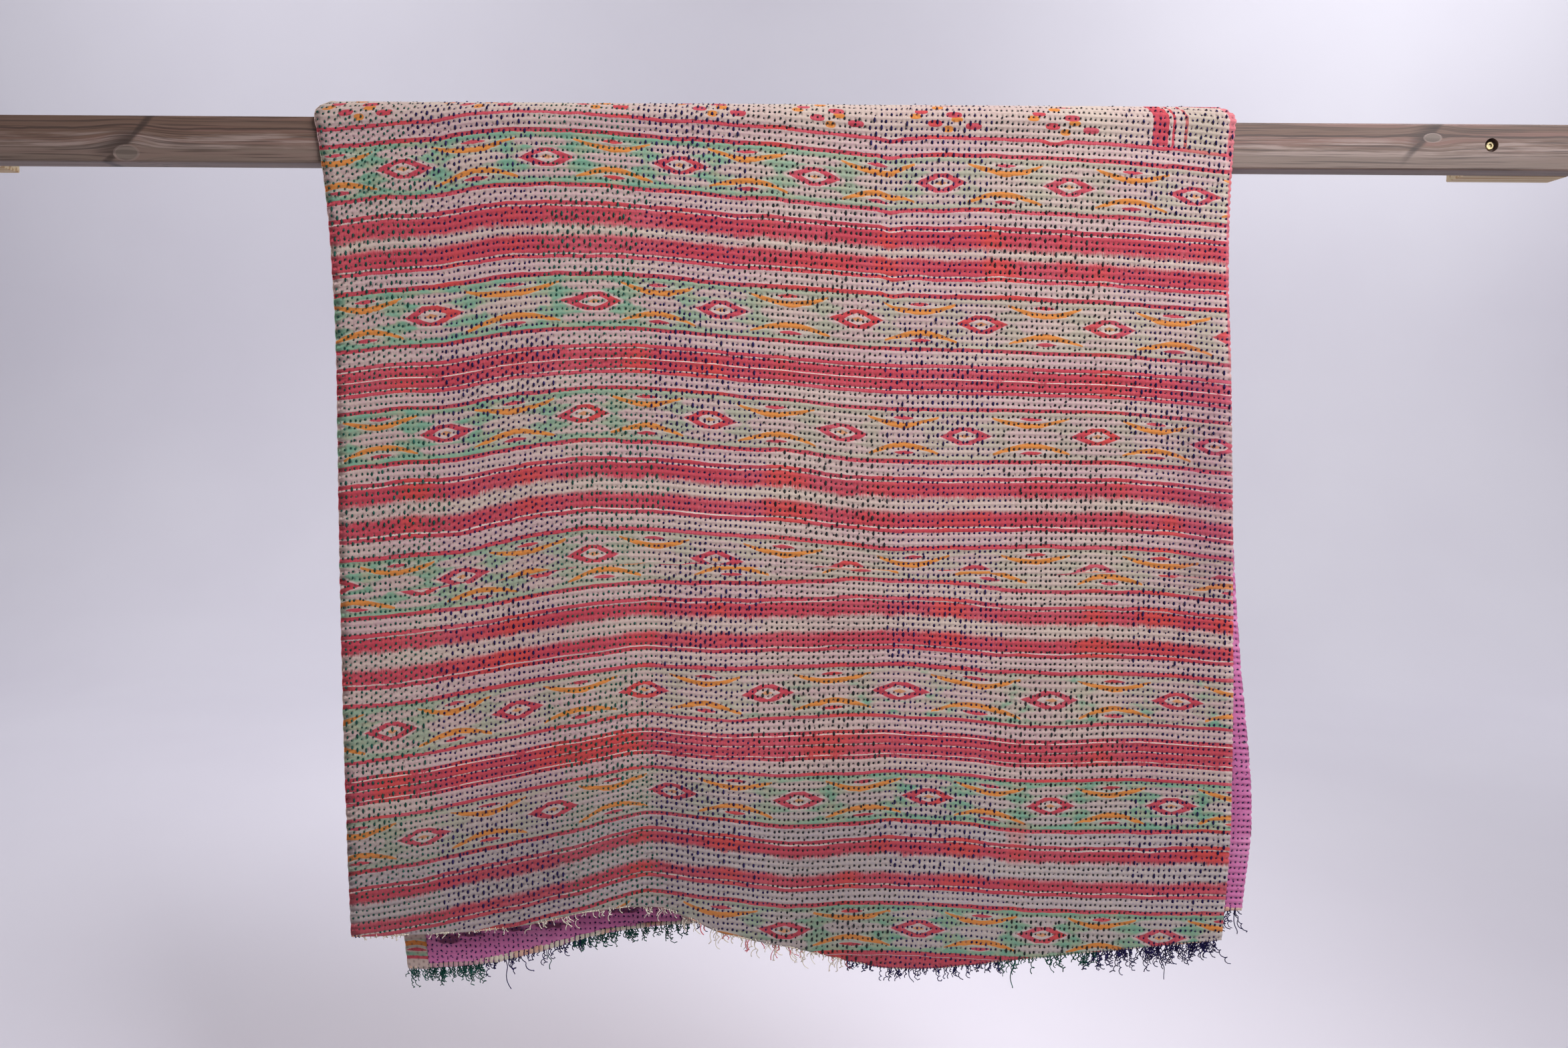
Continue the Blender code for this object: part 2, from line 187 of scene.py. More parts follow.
# ---------------------------------------------------------------- node helpers
def add(tree: bpy.types.NodeTree, kind: str, inputs: dict | None = None,
        **settings: object) -> bpy.types.Node:
    """Adds one node to a tree, sets it up and links it.

    Args:
        tree: the tree that gets the node.
        kind: the node's type.
        inputs: what goes in, by input name or number: a node, one of its outputs, or a plain value.
        **settings: the node's own settings.

    Returns:
        The new node.
    """
    node = tree.nodes.new(kind)
    for name, value in settings.items():
        setattr(node, name, value)
    for key, value in (inputs or {}).items():
        if isinstance(value, bpy.types.Node):
            value = next(output for output in value.outputs if output.enabled)
        if isinstance(value, bpy.types.NodeSocket):
            tree.links.new(value, node.inputs[key])
        else:
            node.inputs[key].default_value = value
    return node


SIGNS = {
    ast.Add: "ADD", ast.Sub: "SUBTRACT", ast.Mult: "MULTIPLY", ast.Div: "DIVIDE", ast.Pow: "POWER",
    ast.Mod: "FLOORED_MODULO", ast.Lt: "LESS_THAN", ast.Gt: "GREATER_THAN",
}
WORDS = {
    "abs": "ABSOLUTE", "fract": "FRACT", "floor": "FLOOR", "least": "MINIMUM", "most": "MAXIMUM",
    "sin": "SINE", "cos": "COSINE", "exp": "EXPONENT", "root": "SQRT", "near": "COMPARE",
}


def formula(tree: bpy.types.NodeTree, text: str, **values: Link) -> Link:
    """Builds the nodes of a written formula, such as "abs(x) / width < 1".

    The words are those of WORDS, near(a, b, tolerance), and soft(x, low, high), which eases from 0 to 1.

    Args:
        tree: the tree that gets the nodes.
        text: the formula.
        **values: what its names stand for.

    Returns:
        The last node, or a plain number where the formula is one.
    """
    def build(part: ast.expr) -> Link:
        """Builds one part of the formula, and first the parts inside it."""
        if isinstance(part, ast.Constant):
            return float(part.value)
        if isinstance(part, ast.Name):
            return values[part.id]
        if isinstance(part, ast.UnaryOp):
            operand = build(part.operand)
            if isinstance(operand, float):
                return -operand
            return add(tree, "ShaderNodeMath", {0: 0.0, 1: operand}, operation="SUBTRACT")
        if isinstance(part, ast.Call) and part.func.id == "soft":
            terms = dict(enumerate(build(term) for term in part.args))
            return add(tree, "ShaderNodeMapRange", terms, interpolation_type="SMOOTHSTEP")
        if isinstance(part, ast.BinOp):
            operation, terms = SIGNS[type(part.op)], [part.left, part.right]
        elif isinstance(part, ast.Compare):
            operation, terms = SIGNS[type(part.ops[0])], [part.left, part.comparators[0]]
        else:
            operation, terms = WORDS[part.func.id], part.args
        built = dict(enumerate(build(term) for term in terms))
        return add(tree, "ShaderNodeMath", built, operation=operation)

    return build(ast.parse(text).body[0].value)


class Finish:
    """A Principled material in the making, with the nodes and numbers that its formulas may name."""

    def __init__(self, name: str, maps: dict[str, tuple[str, str]] | None = None, **sockets: float) -> None:
        """Starts the material from its constants and its coordinates.

        Args:
            name: the material's name.
            maps: what the two coordinates of each of the mesh's maps are called. Without maps it takes the
                Object coordinates, "object", and calls them x, y and z.
            **sockets: socket names, with _ for a space, and their values.
        """
        self.made = bpy.data.materials.new(name)
        self.made.use_nodes = True
        self.tree = self.made.node_tree
        self.shader = self.tree.nodes["Principled BSDF"]
        self.known: dict[str, Link] = {}
        for socket, value in sockets.items():
            self.shader.inputs[socket.replace("_", " ")].default_value = value
        for uv_map, names in (maps or {}).items():
            self.known[uv_map] = add(self.tree, "ShaderNodeUVMap", uv_map=uv_map)
            parts = add(self.tree, "ShaderNodeSeparateXYZ", {0: self.known[uv_map]})
            self.known.update(zip(names, parts.outputs))
        if not maps:
            self.known["object"] = add(self.tree, "ShaderNodeTexCoord").outputs["Object"]
            parts = add(self.tree, "ShaderNodeSeparateXYZ", {0: self.known["object"]})
            self.known.update(zip("xyz", parts.outputs))

    def grains(self, place: str, **sizes: tuple[float, float, float, float]) -> None:
        """Adds noises around 0.5, whose blotches have a real size.

        Args:
            place: what the coordinate is called, which is in metres.
            **sizes: by a noise's name, how long its blotches are each way, in millimetres, and how many
                finer layers it has.
        """
        for name, (*size, detail) in sizes.items():
            scale = tuple(1000 / length for length in size)
            sized = add(self.tree, "ShaderNodeMapping", {"Vector": self.known[place], "Scale": scale})
            terms = {"Vector": sized, "Scale": 1.0, "Detail": detail}
            self.known[name] = add(self.tree, "ShaderNodeTexNoise", terms)

    def of(self, text: str) -> Link:
        """Builds the nodes of a written formula of what is known, and returns the last of them."""
        return formula(self.tree, text, **self.known)

    def let(self, **terms: str | float) -> None:
        """Adds to what is known.

        Args:
            **terms: numbers by name, or written formulas of what is known, the earlier terms included.
        """
        for name, term in terms.items():
            self.known[name] = self.of(term) if isinstance(term, str) else term

    def dress(self, ground: str, coats: list[tuple[str, str]], height: str = "", strength: float = 0.0,
              distance: float = 0.0) -> bpy.types.Material:
        """Gives the shader its colour, in coats over a ground colour, and its bumps.

        Args:
            ground: the ground's hex colour.
            coats: the hex colour of each coat and the formula of its mask, the lowest first.
            height: the formula of how high each spot lies, from 0 to 1; without one there are no bumps.
            strength: how strongly the bumps show, from 0 to 1.
            distance: how high a height of 1 is, in metres.

        Returns:
            The finished material.
        """
        under = linear(ground)
        for colour, mask in coats:
            terms = {0: self.of(mask), 6: under, 7: linear(colour)}
            under = add(self.tree, "ShaderNodeMix", terms, data_type="RGBA")
        self.tree.links.new(under.outputs[2], self.shader.inputs["Base Color"])
        if height:
            terms = {"Strength": strength, "Distance": distance, "Height": self.of(height)}
            bump = add(self.tree, "ShaderNodeBump", terms)
            self.tree.links.new(bump.outputs[0], self.shader.inputs["Normal"])
        return self.made


# ---------------------------------------------------------------- the drape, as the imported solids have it
class Line(NamedTuple):
    """A line down the cloth: its place, its falls to the hems, and how far the hems bow to the room."""

    across: float
    front_fall: float
    back_fall: float
    front_bow: float
    back_bow: float


class Edge(NamedTuple):
    """The x of the cloth's side edges at a share of the way down the fall."""

    down: float
    left: float
    right: float


LINES = (
    Line(0.000, 1.166, 1.239, 0.006, 0.000),
    Line(0.095, 1.163, 1.229, 0.001, 0.002),
    Line(0.165, 1.157, 1.207, -0.003, 0.004),
    Line(0.220, 1.144, 1.187, 0.000, 0.001),
    Line(0.270, 1.128, 1.176, 0.004, -0.003),
    Line(0.345, 1.119, 1.164, 0.003, 0.002),
    Line(0.385, 1.132, 1.161, 0.008, 0.004),
    Line(0.425, 1.156, 1.158, 0.008, 0.003),
    Line(0.510, 1.181, 1.155, 0.002, -0.002),
    Line(0.630, 1.208, 1.152, 0.007, 0.003),
    Line(0.810, 1.193, 1.148, -0.005, -0.004),
    Line(1.000, 1.163, 1.139, 0.004, 0.003),
)
FRONT_EDGES = (
    Edge(0.00, -0.636, 0.630), Edge(0.08, -0.624, 0.626), Edge(0.17, -0.617, 0.627),
    Edge(0.28, -0.614, 0.635), Edge(0.55, -0.616, 0.650), Edge(0.85, -0.615, 0.660),
    Edge(1.00, -0.612, 0.653),
)
BACK_EDGES = (
    Edge(0.00, -0.636, 0.630), Edge(0.20, -0.617, 0.640), Edge(0.45, -0.597, 0.660),
    Edge(0.65, -0.582, 0.681), Edge(0.87, -0.562, 0.709), Edge(1.00, -0.548, 0.700),
)


@dataclass(frozen=True)
class Drape:
    """The quilt's middle layer, hung over the rail."""

    width: float = 1.265
    rail_front: float = -0.0833
    rail_back: float = -0.0453
    rail_top: float = 0.0315
    snug_half_height: float = 0.010
    stand_off: float = 0.00315
    edge_slack: float = 0.0019
    arch_rise: float = 0.0215
    arch_half_width: float = 0.02405
    arch_edge_inset: float = 0.022
    arch_length: float = 0.0717
    ripple: float = 0.0009

    def column(self, name: str, across: Array) -> Array:
        """Reads a column of LINES at places across the cloth."""
        places = [line.across for line in LINES]
        return curve_through(places, [getattr(line, name) for line in LINES], across / self.width)

    def edge_x(self, edges: tuple, across: Array, share: Array) -> Array:
        """Finds x from the side edges' table.

        Args:
            edges: the table of the front or of the back.
            across: places across the cloth.
            share: how far down the fall they are, from 0 to 1.

        Returns:
            The x of each place.
        """
        places = [edge.down for edge in edges]
        left = curve_through(places, [edge.left for edge in edges], share)
        right = curve_through(places, [edge.right for edge in edges], share)
        return left + (right - left) * across / self.width

    def clearance(self, z: Array) -> Array:
        """Says how far the cloth's middle stands off the rail at a height."""
        rise = (np.abs(z) - self.snug_half_height) / (self.rail_top - self.snug_half_height)
        return self.stand_off + self.edge_slack * smooth_step(rise)

    def middle(self, across: Array, down: Array) -> Array:
        """Hangs points of the middle layer.

        Args:
            across: places across the cloth.
            down: how far down it they are.

        Returns:
            A row of x, y and z for each.
        """
        front_share = down / self.column("front_fall", across)
        front_z = self.rail_top - down
        front_bow = self.column("front_bow", across) * smooth_step((front_share - 0.09) / 0.9)
        front = (self.edge_x(FRONT_EDGES, across, front_share),
                 self.rail_front - self.clearance(front_z) - front_bow, front_z)
        below = -down - self.arch_length
        back_share = below / self.column("back_fall", across)
        back_z = self.rail_top - below
        back_bow = self.column("back_bow", across) * smooth_step((back_share - 0.09) / 0.9)
        back = (self.edge_x(BACK_EDGES, across, back_share),
                self.rail_back + self.clearance(back_z) - back_bow, back_z)
        angle = math.pi * np.clip(-down / self.arch_length, 0.0, 1.0)
        inset = self.arch_edge_inset * np.sin(angle) ** 2 * (2 * across / self.width - 1) ** 3
        arch = (self.edge_x(FRONT_EDGES, across, np.zeros_like(across)) - inset,
                (self.rail_front + self.rail_back) / 2 - self.arch_half_width * np.cos(angle),
                self.rail_top + self.arch_rise * np.sin(angle))
        rows = [np.where(down >= 0, f, np.where(below >= 0, b, a)) for f, a, b in zip(front, arch, back)]
        return np.stack(rows, axis=-1)

    def directions(self, across: Array, down: Array) -> tuple[Array, Array, Array]:
        """Finds the way across, the way up the cloth and the way out of it.

        Args:
            across: places across the cloth.
            down: how far down it they are.

        Returns:
            Three rows of unit vectors for each place.
        """
        step = 0.004
        ways = [self.middle(across + step, down) - self.middle(across - step, down),
                self.middle(across, down - step) - self.middle(across, down + step)]
        ways = [way / np.linalg.norm(way, axis=-1, keepdims=True) for way in ways]
        out = np.cross(ways[0], ways[1])
        return ways[0], ways[1], out / np.linalg.norm(out, axis=-1, keepdims=True)

    def place(self, across: Array, down: Array, depth: Array) -> Array:
        """Hangs points of the cloth, with the small dents that an old quilt keeps.

        Args:
            across: places across the cloth.
            down: how far down it they are.
            depth: how far out of the middle layer they lie.

        Returns:
            A row of x, y and z for each.
        """
        across, down, depth = (np.asarray(a, float) for a in np.broadcast_arrays(across, down, depth))
        out = self.directions(across, down)[2]
        dents = (np.sin(across * 31 + down * 17) + np.sin(across * 53 - down * 29 + 2.0)
                 + np.sin(across * 12 + down * 61 + 1.0)) / 3
        free = smooth_step((np.maximum(down, -down - self.arch_length) - 0.10) / 0.15)
        return self.middle(across, down) + out * (depth + self.ripple * dents * free)[..., None]


# ---------------------------------------------------------------- the quilting and the dyed pattern
WAVE_PLACES = (0.00, 0.06, 0.12, 0.18, 0.26, 0.34, 0.42, 0.50, 0.58, 0.62, 0.70, 0.78, 0.90, 1.00)
WAVES = {  # how far down a woven line lies, and its rise there at each of those places across, in mm
    0.035: (2, 8, 14, 25.5, 28, 21, 15.5, 8, -1, -4, -4, -6, -13, -25),
    0.120: (-2, 8, 12, 24, 28, 23, 15, 9, 0, -4, -4, -6, -14, -23),
    0.235: (-12, -1, 3, 16.5, 23, 21, 13, 5, -1, -4, -7, -10, -15, -24),
    0.350: (-19, -10, -6, 8, 19, 20, 13, 5, -3, -5, -6, -9, -15, -26),
    0.460: (-24, -14, -9, 4.5, 19, 20, 12, 8, -3.5, -6, -6.5, -6.5, -8.5, -21),
    0.585: (-32, -25, -19, -3, 15.5, 18, 11, 4, -5, -9, -7.5, -5, -8, -21),
    0.665: (-35, -29.5, -20, -10, 10.5, 21, 21.5, 22, 27.5, 27, 21, 11, 10, -3),
    0.780: (-50, -43, -32, -18, 1, 14, 11, 13.5, 17, 19.5, 11.5, 6, 4.5, -2),
    0.850: (-59, -50, -37, -21, -1, 16, 9, 12, 16.5, 16.5, 10.5, 0.5, 5, -1),
    0.930: (-62, -53, -38, -21, 1, 20, 14.5, 9.5, 14, 18, 12, 1, 5, 0),
    1.010: (-63, -50, -36, -20, 6, 31, 22.5, 12, 19, 23, 16, 4.5, 7.5, 6),
    1.070: (-64.5, -53, -38, -22, 6, 33, 24.5, 12.6, 18.3, 19.6, 13.3, 5, 3, 5),
}
LAST_OF_UPPER, FIRST_OF_LOWER = 0.585, 0.665
UPPER_PIECE = tuple(at for at in WAVES if at <= LAST_OF_UPPER)
LOWER_PIECE = tuple(at for at in WAVES if at >= FIRST_OF_LOWER)
QUILTING = tuple(at for at in WAVES if at != FIRST_OF_LOWER)


class Motifs(NamedTuple):
    """A row of woven diamonds: its number, and the places of its diamonds across, in mm."""

    number: int
    diamonds: tuple[int, ...]


MOTIF_ROWS = (
    Motifs(0, (111, 313, 497, 685, 860, 1040, 1215)),
    Motifs(1, (134, 368, 546, 740, 915, 1095)),
    Motifs(2, (151, 348, 526, 715, 887, 1076, 1241)),
    Motifs(3, (172, 359, 532, 724, 901, 1072)),
    Motifs(4, (67, 246, 428, 602, 790, 1010, 1187)),
    Motifs(5, (108, 296, 466, 646, 832, 1008, 1180)),
    Motifs(6, (74, 256, 444, 628, 822, 1005, 1176)),
)
SEAMED_ROW = Motifs(3, (114, 285, 463, 645, 830, 1012, 1171))     # its lower half, on the lower piece
SEAM_PLACES = (0.00, 0.15, 0.28, 0.35, 0.50, 0.62, 0.72, 0.85, 1.00)
SEAM_DOWN = (0.629, 0.6315, 0.636, 0.638, 0.643, 0.652, 0.643, 0.638, 0.634)
MOTIF_PITCH = 0.183         # from one diamond to the next
MOTIF_HALF = 0.037          # half the height of a row of motifs, up to the thin lines beside it
PAIR_GAP, SOLID_GAP = 0.117, 0.081      # gaps with a pair of bars, and with one broad bar
STITCH_SLIP = 0.0021        # how far neighbouring columns of stitches slip past each other
STITCH_SWAY = 0.0012        # how far a column of stitches sways aside
EDGE_COUNT = 0.2            # how far from its middle a row's edge is, when rows are counted
GAP_COUNT = 1 - 2 * EDGE_COUNT
BACK_END = -1.5             # the weave of the back half is drawn this far
FRONT_BANDS = {             # where along the weave the edges of a row of motifs lie, and its count there
    0.045: -0.2, 0.119: 0.2, 0.235: 0.8, 0.309: 1.2, 0.390: 1.8, 0.464: 2.2, 0.585: 2.8, 0.659: 3.2,
}
LOWER_BANDS = {
    0.591: 2.8, 0.665: 3.2, 0.778: 3.8, 0.851: 4.2, 0.932: 4.8, 1.010: 5.2, 1.129: 5.8, 1.203: 6.2,
}


@dataclass(frozen=True)
class Quilting:
    """The ribs between the rows of running stitch, and the woven pattern that they follow."""

    drape: Drape = field(default_factory=Drape)
    rib: float = 0.0091
    stitch_gap: float = 1.265 / 175
    relief: float = 0.0010
    face_outer: float = 0.00195
    face_inner: float = 0.00015
    backing_outer: float = -0.00015
    backing_inner: float = -0.00175

    def rise(self, across: Array, down: Array, rows: tuple[float, ...]) -> Array:
        """Says how far the woven lines ride up at a place.

        Args:
            across: places across the cloth.
            down: which woven line, named by how far down it lies.
            rows: which rows of WAVES count.

        Returns:
            The rise in metres, fading out over the rail.
        """
        share = across / self.drape.width
        table = np.stack([curve_through(WAVE_PLACES, WAVES[row], share) for row in rows])
        places = np.asarray(rows)
        before = np.clip(np.searchsorted(places, down, side="right") - 1, 0, len(places) - 2)
        t = np.clip((down - places[before]) / (places[before + 1] - places[before]), 0.0, 1.0)
        low = np.take_along_axis(table, before[None], axis=0)[0]
        high = np.take_along_axis(table, before[None] + 1, axis=0)[0]
        fade = smooth_step((down + 0.35) / 0.385)
        return (low + (high - low) * t) * fade * MM

    def down_of(self, across: Array, rib: Array) -> Array:
        """Turns a place along the quilting to a place down the cloth."""
        return rib - self.rise(across, rib, QUILTING)

    def rib_of(self, across: Array, down: Array, rows: tuple[float, ...] = QUILTING) -> Array:
        """Turns a place down the cloth to one along the quilting, or along the woven lines.

        Args:
            across: places across the cloth.
            down: how far down it they are.
            rows: which rows of WAVES count.

        Returns:
            The place along the quilting or the weave.
        """
        rib = np.array(down, float)
        for _ in range(12):
            rib = down + self.rise(across, rib, rows)
        return rib

    def front_hem(self, across: Array) -> Array:
        """Finds where along the quilting the front hem cuts it."""
        return self.rib_of(across, self.drape.column("front_fall", across))

    def back_hem(self, across: Array) -> Array:
        """Finds where along the quilting the back hem cuts it."""
        return -self.drape.arch_length - self.drape.column("back_fall", across)

    def swell(self, across: Array, rib: Array) -> Array:
        """Says how far the cloth stands proud between the stitches, and sinks at them.

        Args:
            across: places across the cloth.
            rib: places along the quilting.

        Returns:
            The height over the mean surface.
        """
        crest = 2 * np.abs(np.sin(math.pi * rib / self.rib)) - 1
        uneven = 1 + 0.22 * np.sin(across * 37 + rib * 23) * np.sin(across * 11 - rib * 41 + 1.3)
        return self.relief * crest * uneven

    def dye(self, across: Array, rib: Array) -> Array:
        """Finds where a point lies in the woven pattern.

        Args:
            across: places across the cloth.
            rib: places along the quilting.

        Returns:
            Two columns: diamonds counted across, and rows of motifs counted down.
        """
        down = self.down_of(across, rib)
        upper = self.rib_of(across, down, UPPER_PIECE)
        lower = self.rib_of(across, down, LOWER_PIECE)
        is_lower = lower > curve_through(SEAM_PLACES, SEAM_DOWN, across / self.drape.width)
        bands = {**self.back_bands(), **FRONT_BANDS}
        places = sorted(bands)
        row_upper = np.interp(upper, places, [bands[place] for place in places])
        row_upper += np.maximum(upper - max(FRONT_BANDS), 0) * EDGE_COUNT / MOTIF_HALF
        row_lower = np.interp(lower, list(LOWER_BANDS), list(LOWER_BANDS.values()))
        row_lower += np.maximum(lower - max(LOWER_BANDS), 0) * GAP_COUNT / PAIR_GAP
        row = np.where(is_lower, row_lower, row_upper)
        return np.stack([self.diamonds(across, row, is_lower), row], axis=-1)

    def back_bands(self) -> dict[float, float]:
        """Carries the table of FRONT_BANDS on over the rail and down the back half."""
        bands, at, row = {}, min(FRONT_BANDS), FRONT_BANDS[min(FRONT_BANDS)]
        while at > BACK_END:
            at -= SOLID_GAP if math.floor(row) % 3 == 1 else PAIR_GAP
            bands[at] = row - GAP_COUNT
            bands[at - 2 * MOTIF_HALF] = row - 1.0
            at, row = at - 2 * MOTIF_HALF, row - 1.0
        return bands

    def diamonds(self, across: Array, row: Array, is_lower: Array) -> Array:
        """Counts diamonds across, in the row of motifs that a point is nearest to.

        Args:
            across: places across the cloth.
            row: rows of motifs counted down.
            is_lower: whether a point is on the lower piece of cloth.

        Returns:
            The count, whole at a diamond's middle.
        """
        count = across / MOTIF_PITCH + 0.37 * np.round(row)       # rows without a table of their own
        for motifs in (*MOTIF_ROWS, SEAMED_ROW):
            here = np.round(row) == motifs.number
            if motifs.number == SEAMED_ROW.number:
                here &= is_lower == (motifs is SEAMED_ROW)
            places = np.array(motifs.diamonds) * MM
            inside = np.interp(across, places, np.arange(len(places)))
            beyond = np.minimum(across - places[0], 0) + np.maximum(across - places[-1], 0)
            count = np.where(here, inside + beyond / MOTIF_PITCH, count)
        return count


# ---------------------------------------------------------------- finishes
class Spot(NamedTuple):
    """A spot of dye, or of dye with painted shadow: its middle across and down the cloth, half its width and
    height.
    """

    u: float
    v: float
    wide: float
    high: float


RED_DABS = (                # of the sprig in the border, in millimetres
    Spot(-32.0, 0.0, 9.0, 2.8), Spot(-13.0, 15.0, 10.0, 4.2), Spot(13.0, 4.0, 11.0, 3.8),
    Spot(40.0, 18.0, 11.0, 4.3), Spot(6.0, -13.0, 12.0, 1.8),
)
ORANGE_DABS = (
    Spot(-40.0, 6.0, 8.0, 3.6), Spot(17.0, 10.0, 8.0, 3.0), Spot(5.0, 22.0, 7.0, 4.2),
    Spot(-9.0, -8.0, 8.0, 2.6),
)
MAROON_DYE_AND_HEM_SHADOW = (            # dark maroon dye soaked into the pink cloth, with painted shadow of the front hem, in metres
    Spot(0.066, -1.262, 0.022, 0.010), Spot(0.100, -1.254, 0.020, 0.007),
    Spot(0.221, -1.240, 0.026, 0.006), Spot(0.372, -1.210, 0.024, 0.008),
    Spot(0.330, -1.218, 0.030, 0.006), Spot(0.160, -1.246, 0.035, 0.005),
)


@dataclass(frozen=True)
class SariCotton:
    """Old sari cotton: thin, plain woven, striped and brocaded, and washed soft, so dull and uneven."""

    rosy: str = "#BB999B"
    cream: str = "#BEAD9D"
    grey: str = "#A7A0A3"
    coral: str = "#B52A3E"
    worn_coral: str = "#BC5360"
    white: str = "#D2BDB2"
    mint: str = "#6C9C82"
    sage: str = "#9CA080"
    orange: str = "#CB7E36"
    vermilion: str = "#C63F34"
    plum: str = "#8E4A68"
    # painted shade: darkens the foot of the front half and its left side, where the light falls off
    grime: str = "#3A2C30"
    shade: str = "#4A363E"
    quilting: Quilting = field(default_factory=Quilting)

    def material(self) -> bpy.types.Material:
        """Builds the material on the maps "cloth" (metres) and "dye" (diamonds and rows)."""
        finish = Finish("sari_cotton_striped", {"cloth": ("across", "rib"), "dye": ("turn", "row")},
                        Roughness=0.93, Sheen_Weight=0.12, Sheen_Roughness=0.5)
        finish.grains(
            "cloth",
            streak=(1.6, 14, 1, 2),         # a few warp threads take more dye
            blot=(22, 14, 1, 2),            # dye creeps unevenly
            patch=(190, 120, 1, 3),         # places washed and worn more
            slack=(75, 160, 1, 1),          # lines wander between the stitches
            fleck=(5, 3.5, 1, 3),
            weft=(5.0, 0.9, 1, 1),          # threads are 0.3 mm; drawn three times as coarse
            warp=(0.9, 5.0, 1, 1))
        finish.let(
            cusp="soft(abs(across - 0.79), 0.022, 0) * soft(rib, 0.32, 0.22) * 0.020"
                 " + soft(abs(across - 1.016), 0.025, 0) * soft(rib, 0.05, 0.02) * 0.028",
            ragged="row + (streak - 0.5) * 0.010 + (blot - 0.5) * 0.014 + (slack - 0.5) * 0.040 - cusp")
        self.stripes(finish)
        self.motifs(finish)
        self.top_border(finish)
        self.puckers(finish)
        finish.let(red="most(most(stripe, diamond), most(dash < 1, top_red))")
        return finish.dress(self.rosy, [*self.ground(), *self.dyes(), *self.stains()],
                            "weft * 0.16 + warp * 0.16 - dip * 0.75", strength=0.9, distance=0.0011)

    def ground(self) -> list[tuple[str, str]]:
        """Lists the coats of the undyed ground: creamy between the bars, greyer towards the front hem."""
        return [
            (self.cream, "most(soft(abs(fract(ragged) - 0.5), 0.12, 0.0), soft(ragged, -0.28, -0.4)) * 0.45"
                         " + soft(patch, 0.42, 0.66) * 0.5"),
            (self.grey, "soft(rib, 0.90, 1.02) * 0.75"),
            (self.cream, "soft(fleck, 0.38, 0.66) * 0.55"),
            (self.white, "soft(streak + patch * 0.4, 0.68, 0.92) * 0.35"),
        ]

    def dyes(self) -> list[tuple[str, str]]:
        """Lists the coats of dye, the red one in two worn shades."""
        return [
            (self.sage, "sage"), (self.mint, "mint"), (self.white, "halo * 0.28"),
            (self.orange, "most(crescent, orange_dabs)"), (self.coral, "red * 0.94"),
            (self.worn_coral, "red * soft(streak * 0.5 + patch * 0.6, 0.5, 0.72)"),
            (self.vermilion, "red * soft(slack + (streak - 0.5) * 0.3, 0.52, 0.70) * 0.7"),
            (self.white, "white_line"), (self.orange, "core * 0.75"),
        ]

    def stains(self) -> list[tuple[str, str]]:
        """Lists what has soaked or rubbed in, and where shade is painted.

        The coats are a purple bloom by the right edge, a rusty patch, a green corner, a red selvedge,
        painted shade at the foot of the front half and towards its left, where the light falls off, and
        painted shade in the stitches' dips.
        """
        return [
            (self.plum, "soft(across, 1.165, 1.215) * soft(rib, 0.25, 0.33) * soft(rib, 0.70, 0.60)"
                        " * blot * 0.55"),
            (self.vermilion, "soft(abs(across - 0.961 + (blot - 0.5) * 0.02), 0.022, 0.006)"
                             " * soft(abs(rib - 1.03), 0.040, 0.02) * 0.35"),
            (self.sage, "soft(abs(across - 1.222), 0.040, 0.010) * soft(abs(rib + 0.005), 0.045, 0.015)"
                        " * 0.35"),
            (self.worn_coral, "most((across > 1.2565) * soft(rib, 0.035, 0.025),"
                              " (across > 1.2615) * soft(rib, 0.34, 0.28))"
                              " * soft(rib, -0.10, -0.09) * 0.85"),
            # painted shade where the light falls off at the foot of the front half, darkest towards the left
            (self.grime, "soft(rib, 0.84, 1.06) * soft(across, 1.20, 0.50) * (0.26 + (patch - 0.5) * 0.2)"),
            (self.shade, "dip * 0.46"),
        ]

    def stripes(self, finish: Finish) -> None:
        """Adds the masks "stripe" and "white_line".

        A stripe is a red line beside the motifs or a bar in a gap between their rows. The white lines lie
        inside the bars. A place is counted in rows, so a gap's middle is 0.5 away from a row's.
        """
        finish.let(
            away="abs(fract(ragged + 0.5) - 0.5)",
            gap="floor(row)",
            solid="near(gap % 3, 1, 0.1)",          # every third bar is solid, the others are pairs of lines
            top="near(gap, -1, 0.1)",
            hem="ragged > 6.22",
            thin="near(away, 0.2, 0.0152)",
            inward="soft(away + row * 0.007 + (streak - 0.5) * 0.06 + (blot - 0.5) * 0.05, 0.491, 0.445)",
            pair="most(near(away, 0.322, 0.0138), soft(away, 0.342, 0.349) * inward * (1 - top))",
            broad="away > 0.348",
            kept="soft(blot + streak * 0.4, 0.50, 0.72) * (1 - near(gap, 3, 0.1) * 0.7)",
            fine="most(near(away, 0.5, 0.0055), near(away, 0.392, 0.006)) * solid * kept",
            edging="near(away, 0.339, 0.0042) * (1 - solid) * (1 - top) * kept",
            stripe="most(most(thin, pair * (1 - solid)), most(broad * solid, hem))",
            white_line="most(fine, edging) * (1 - hem)")

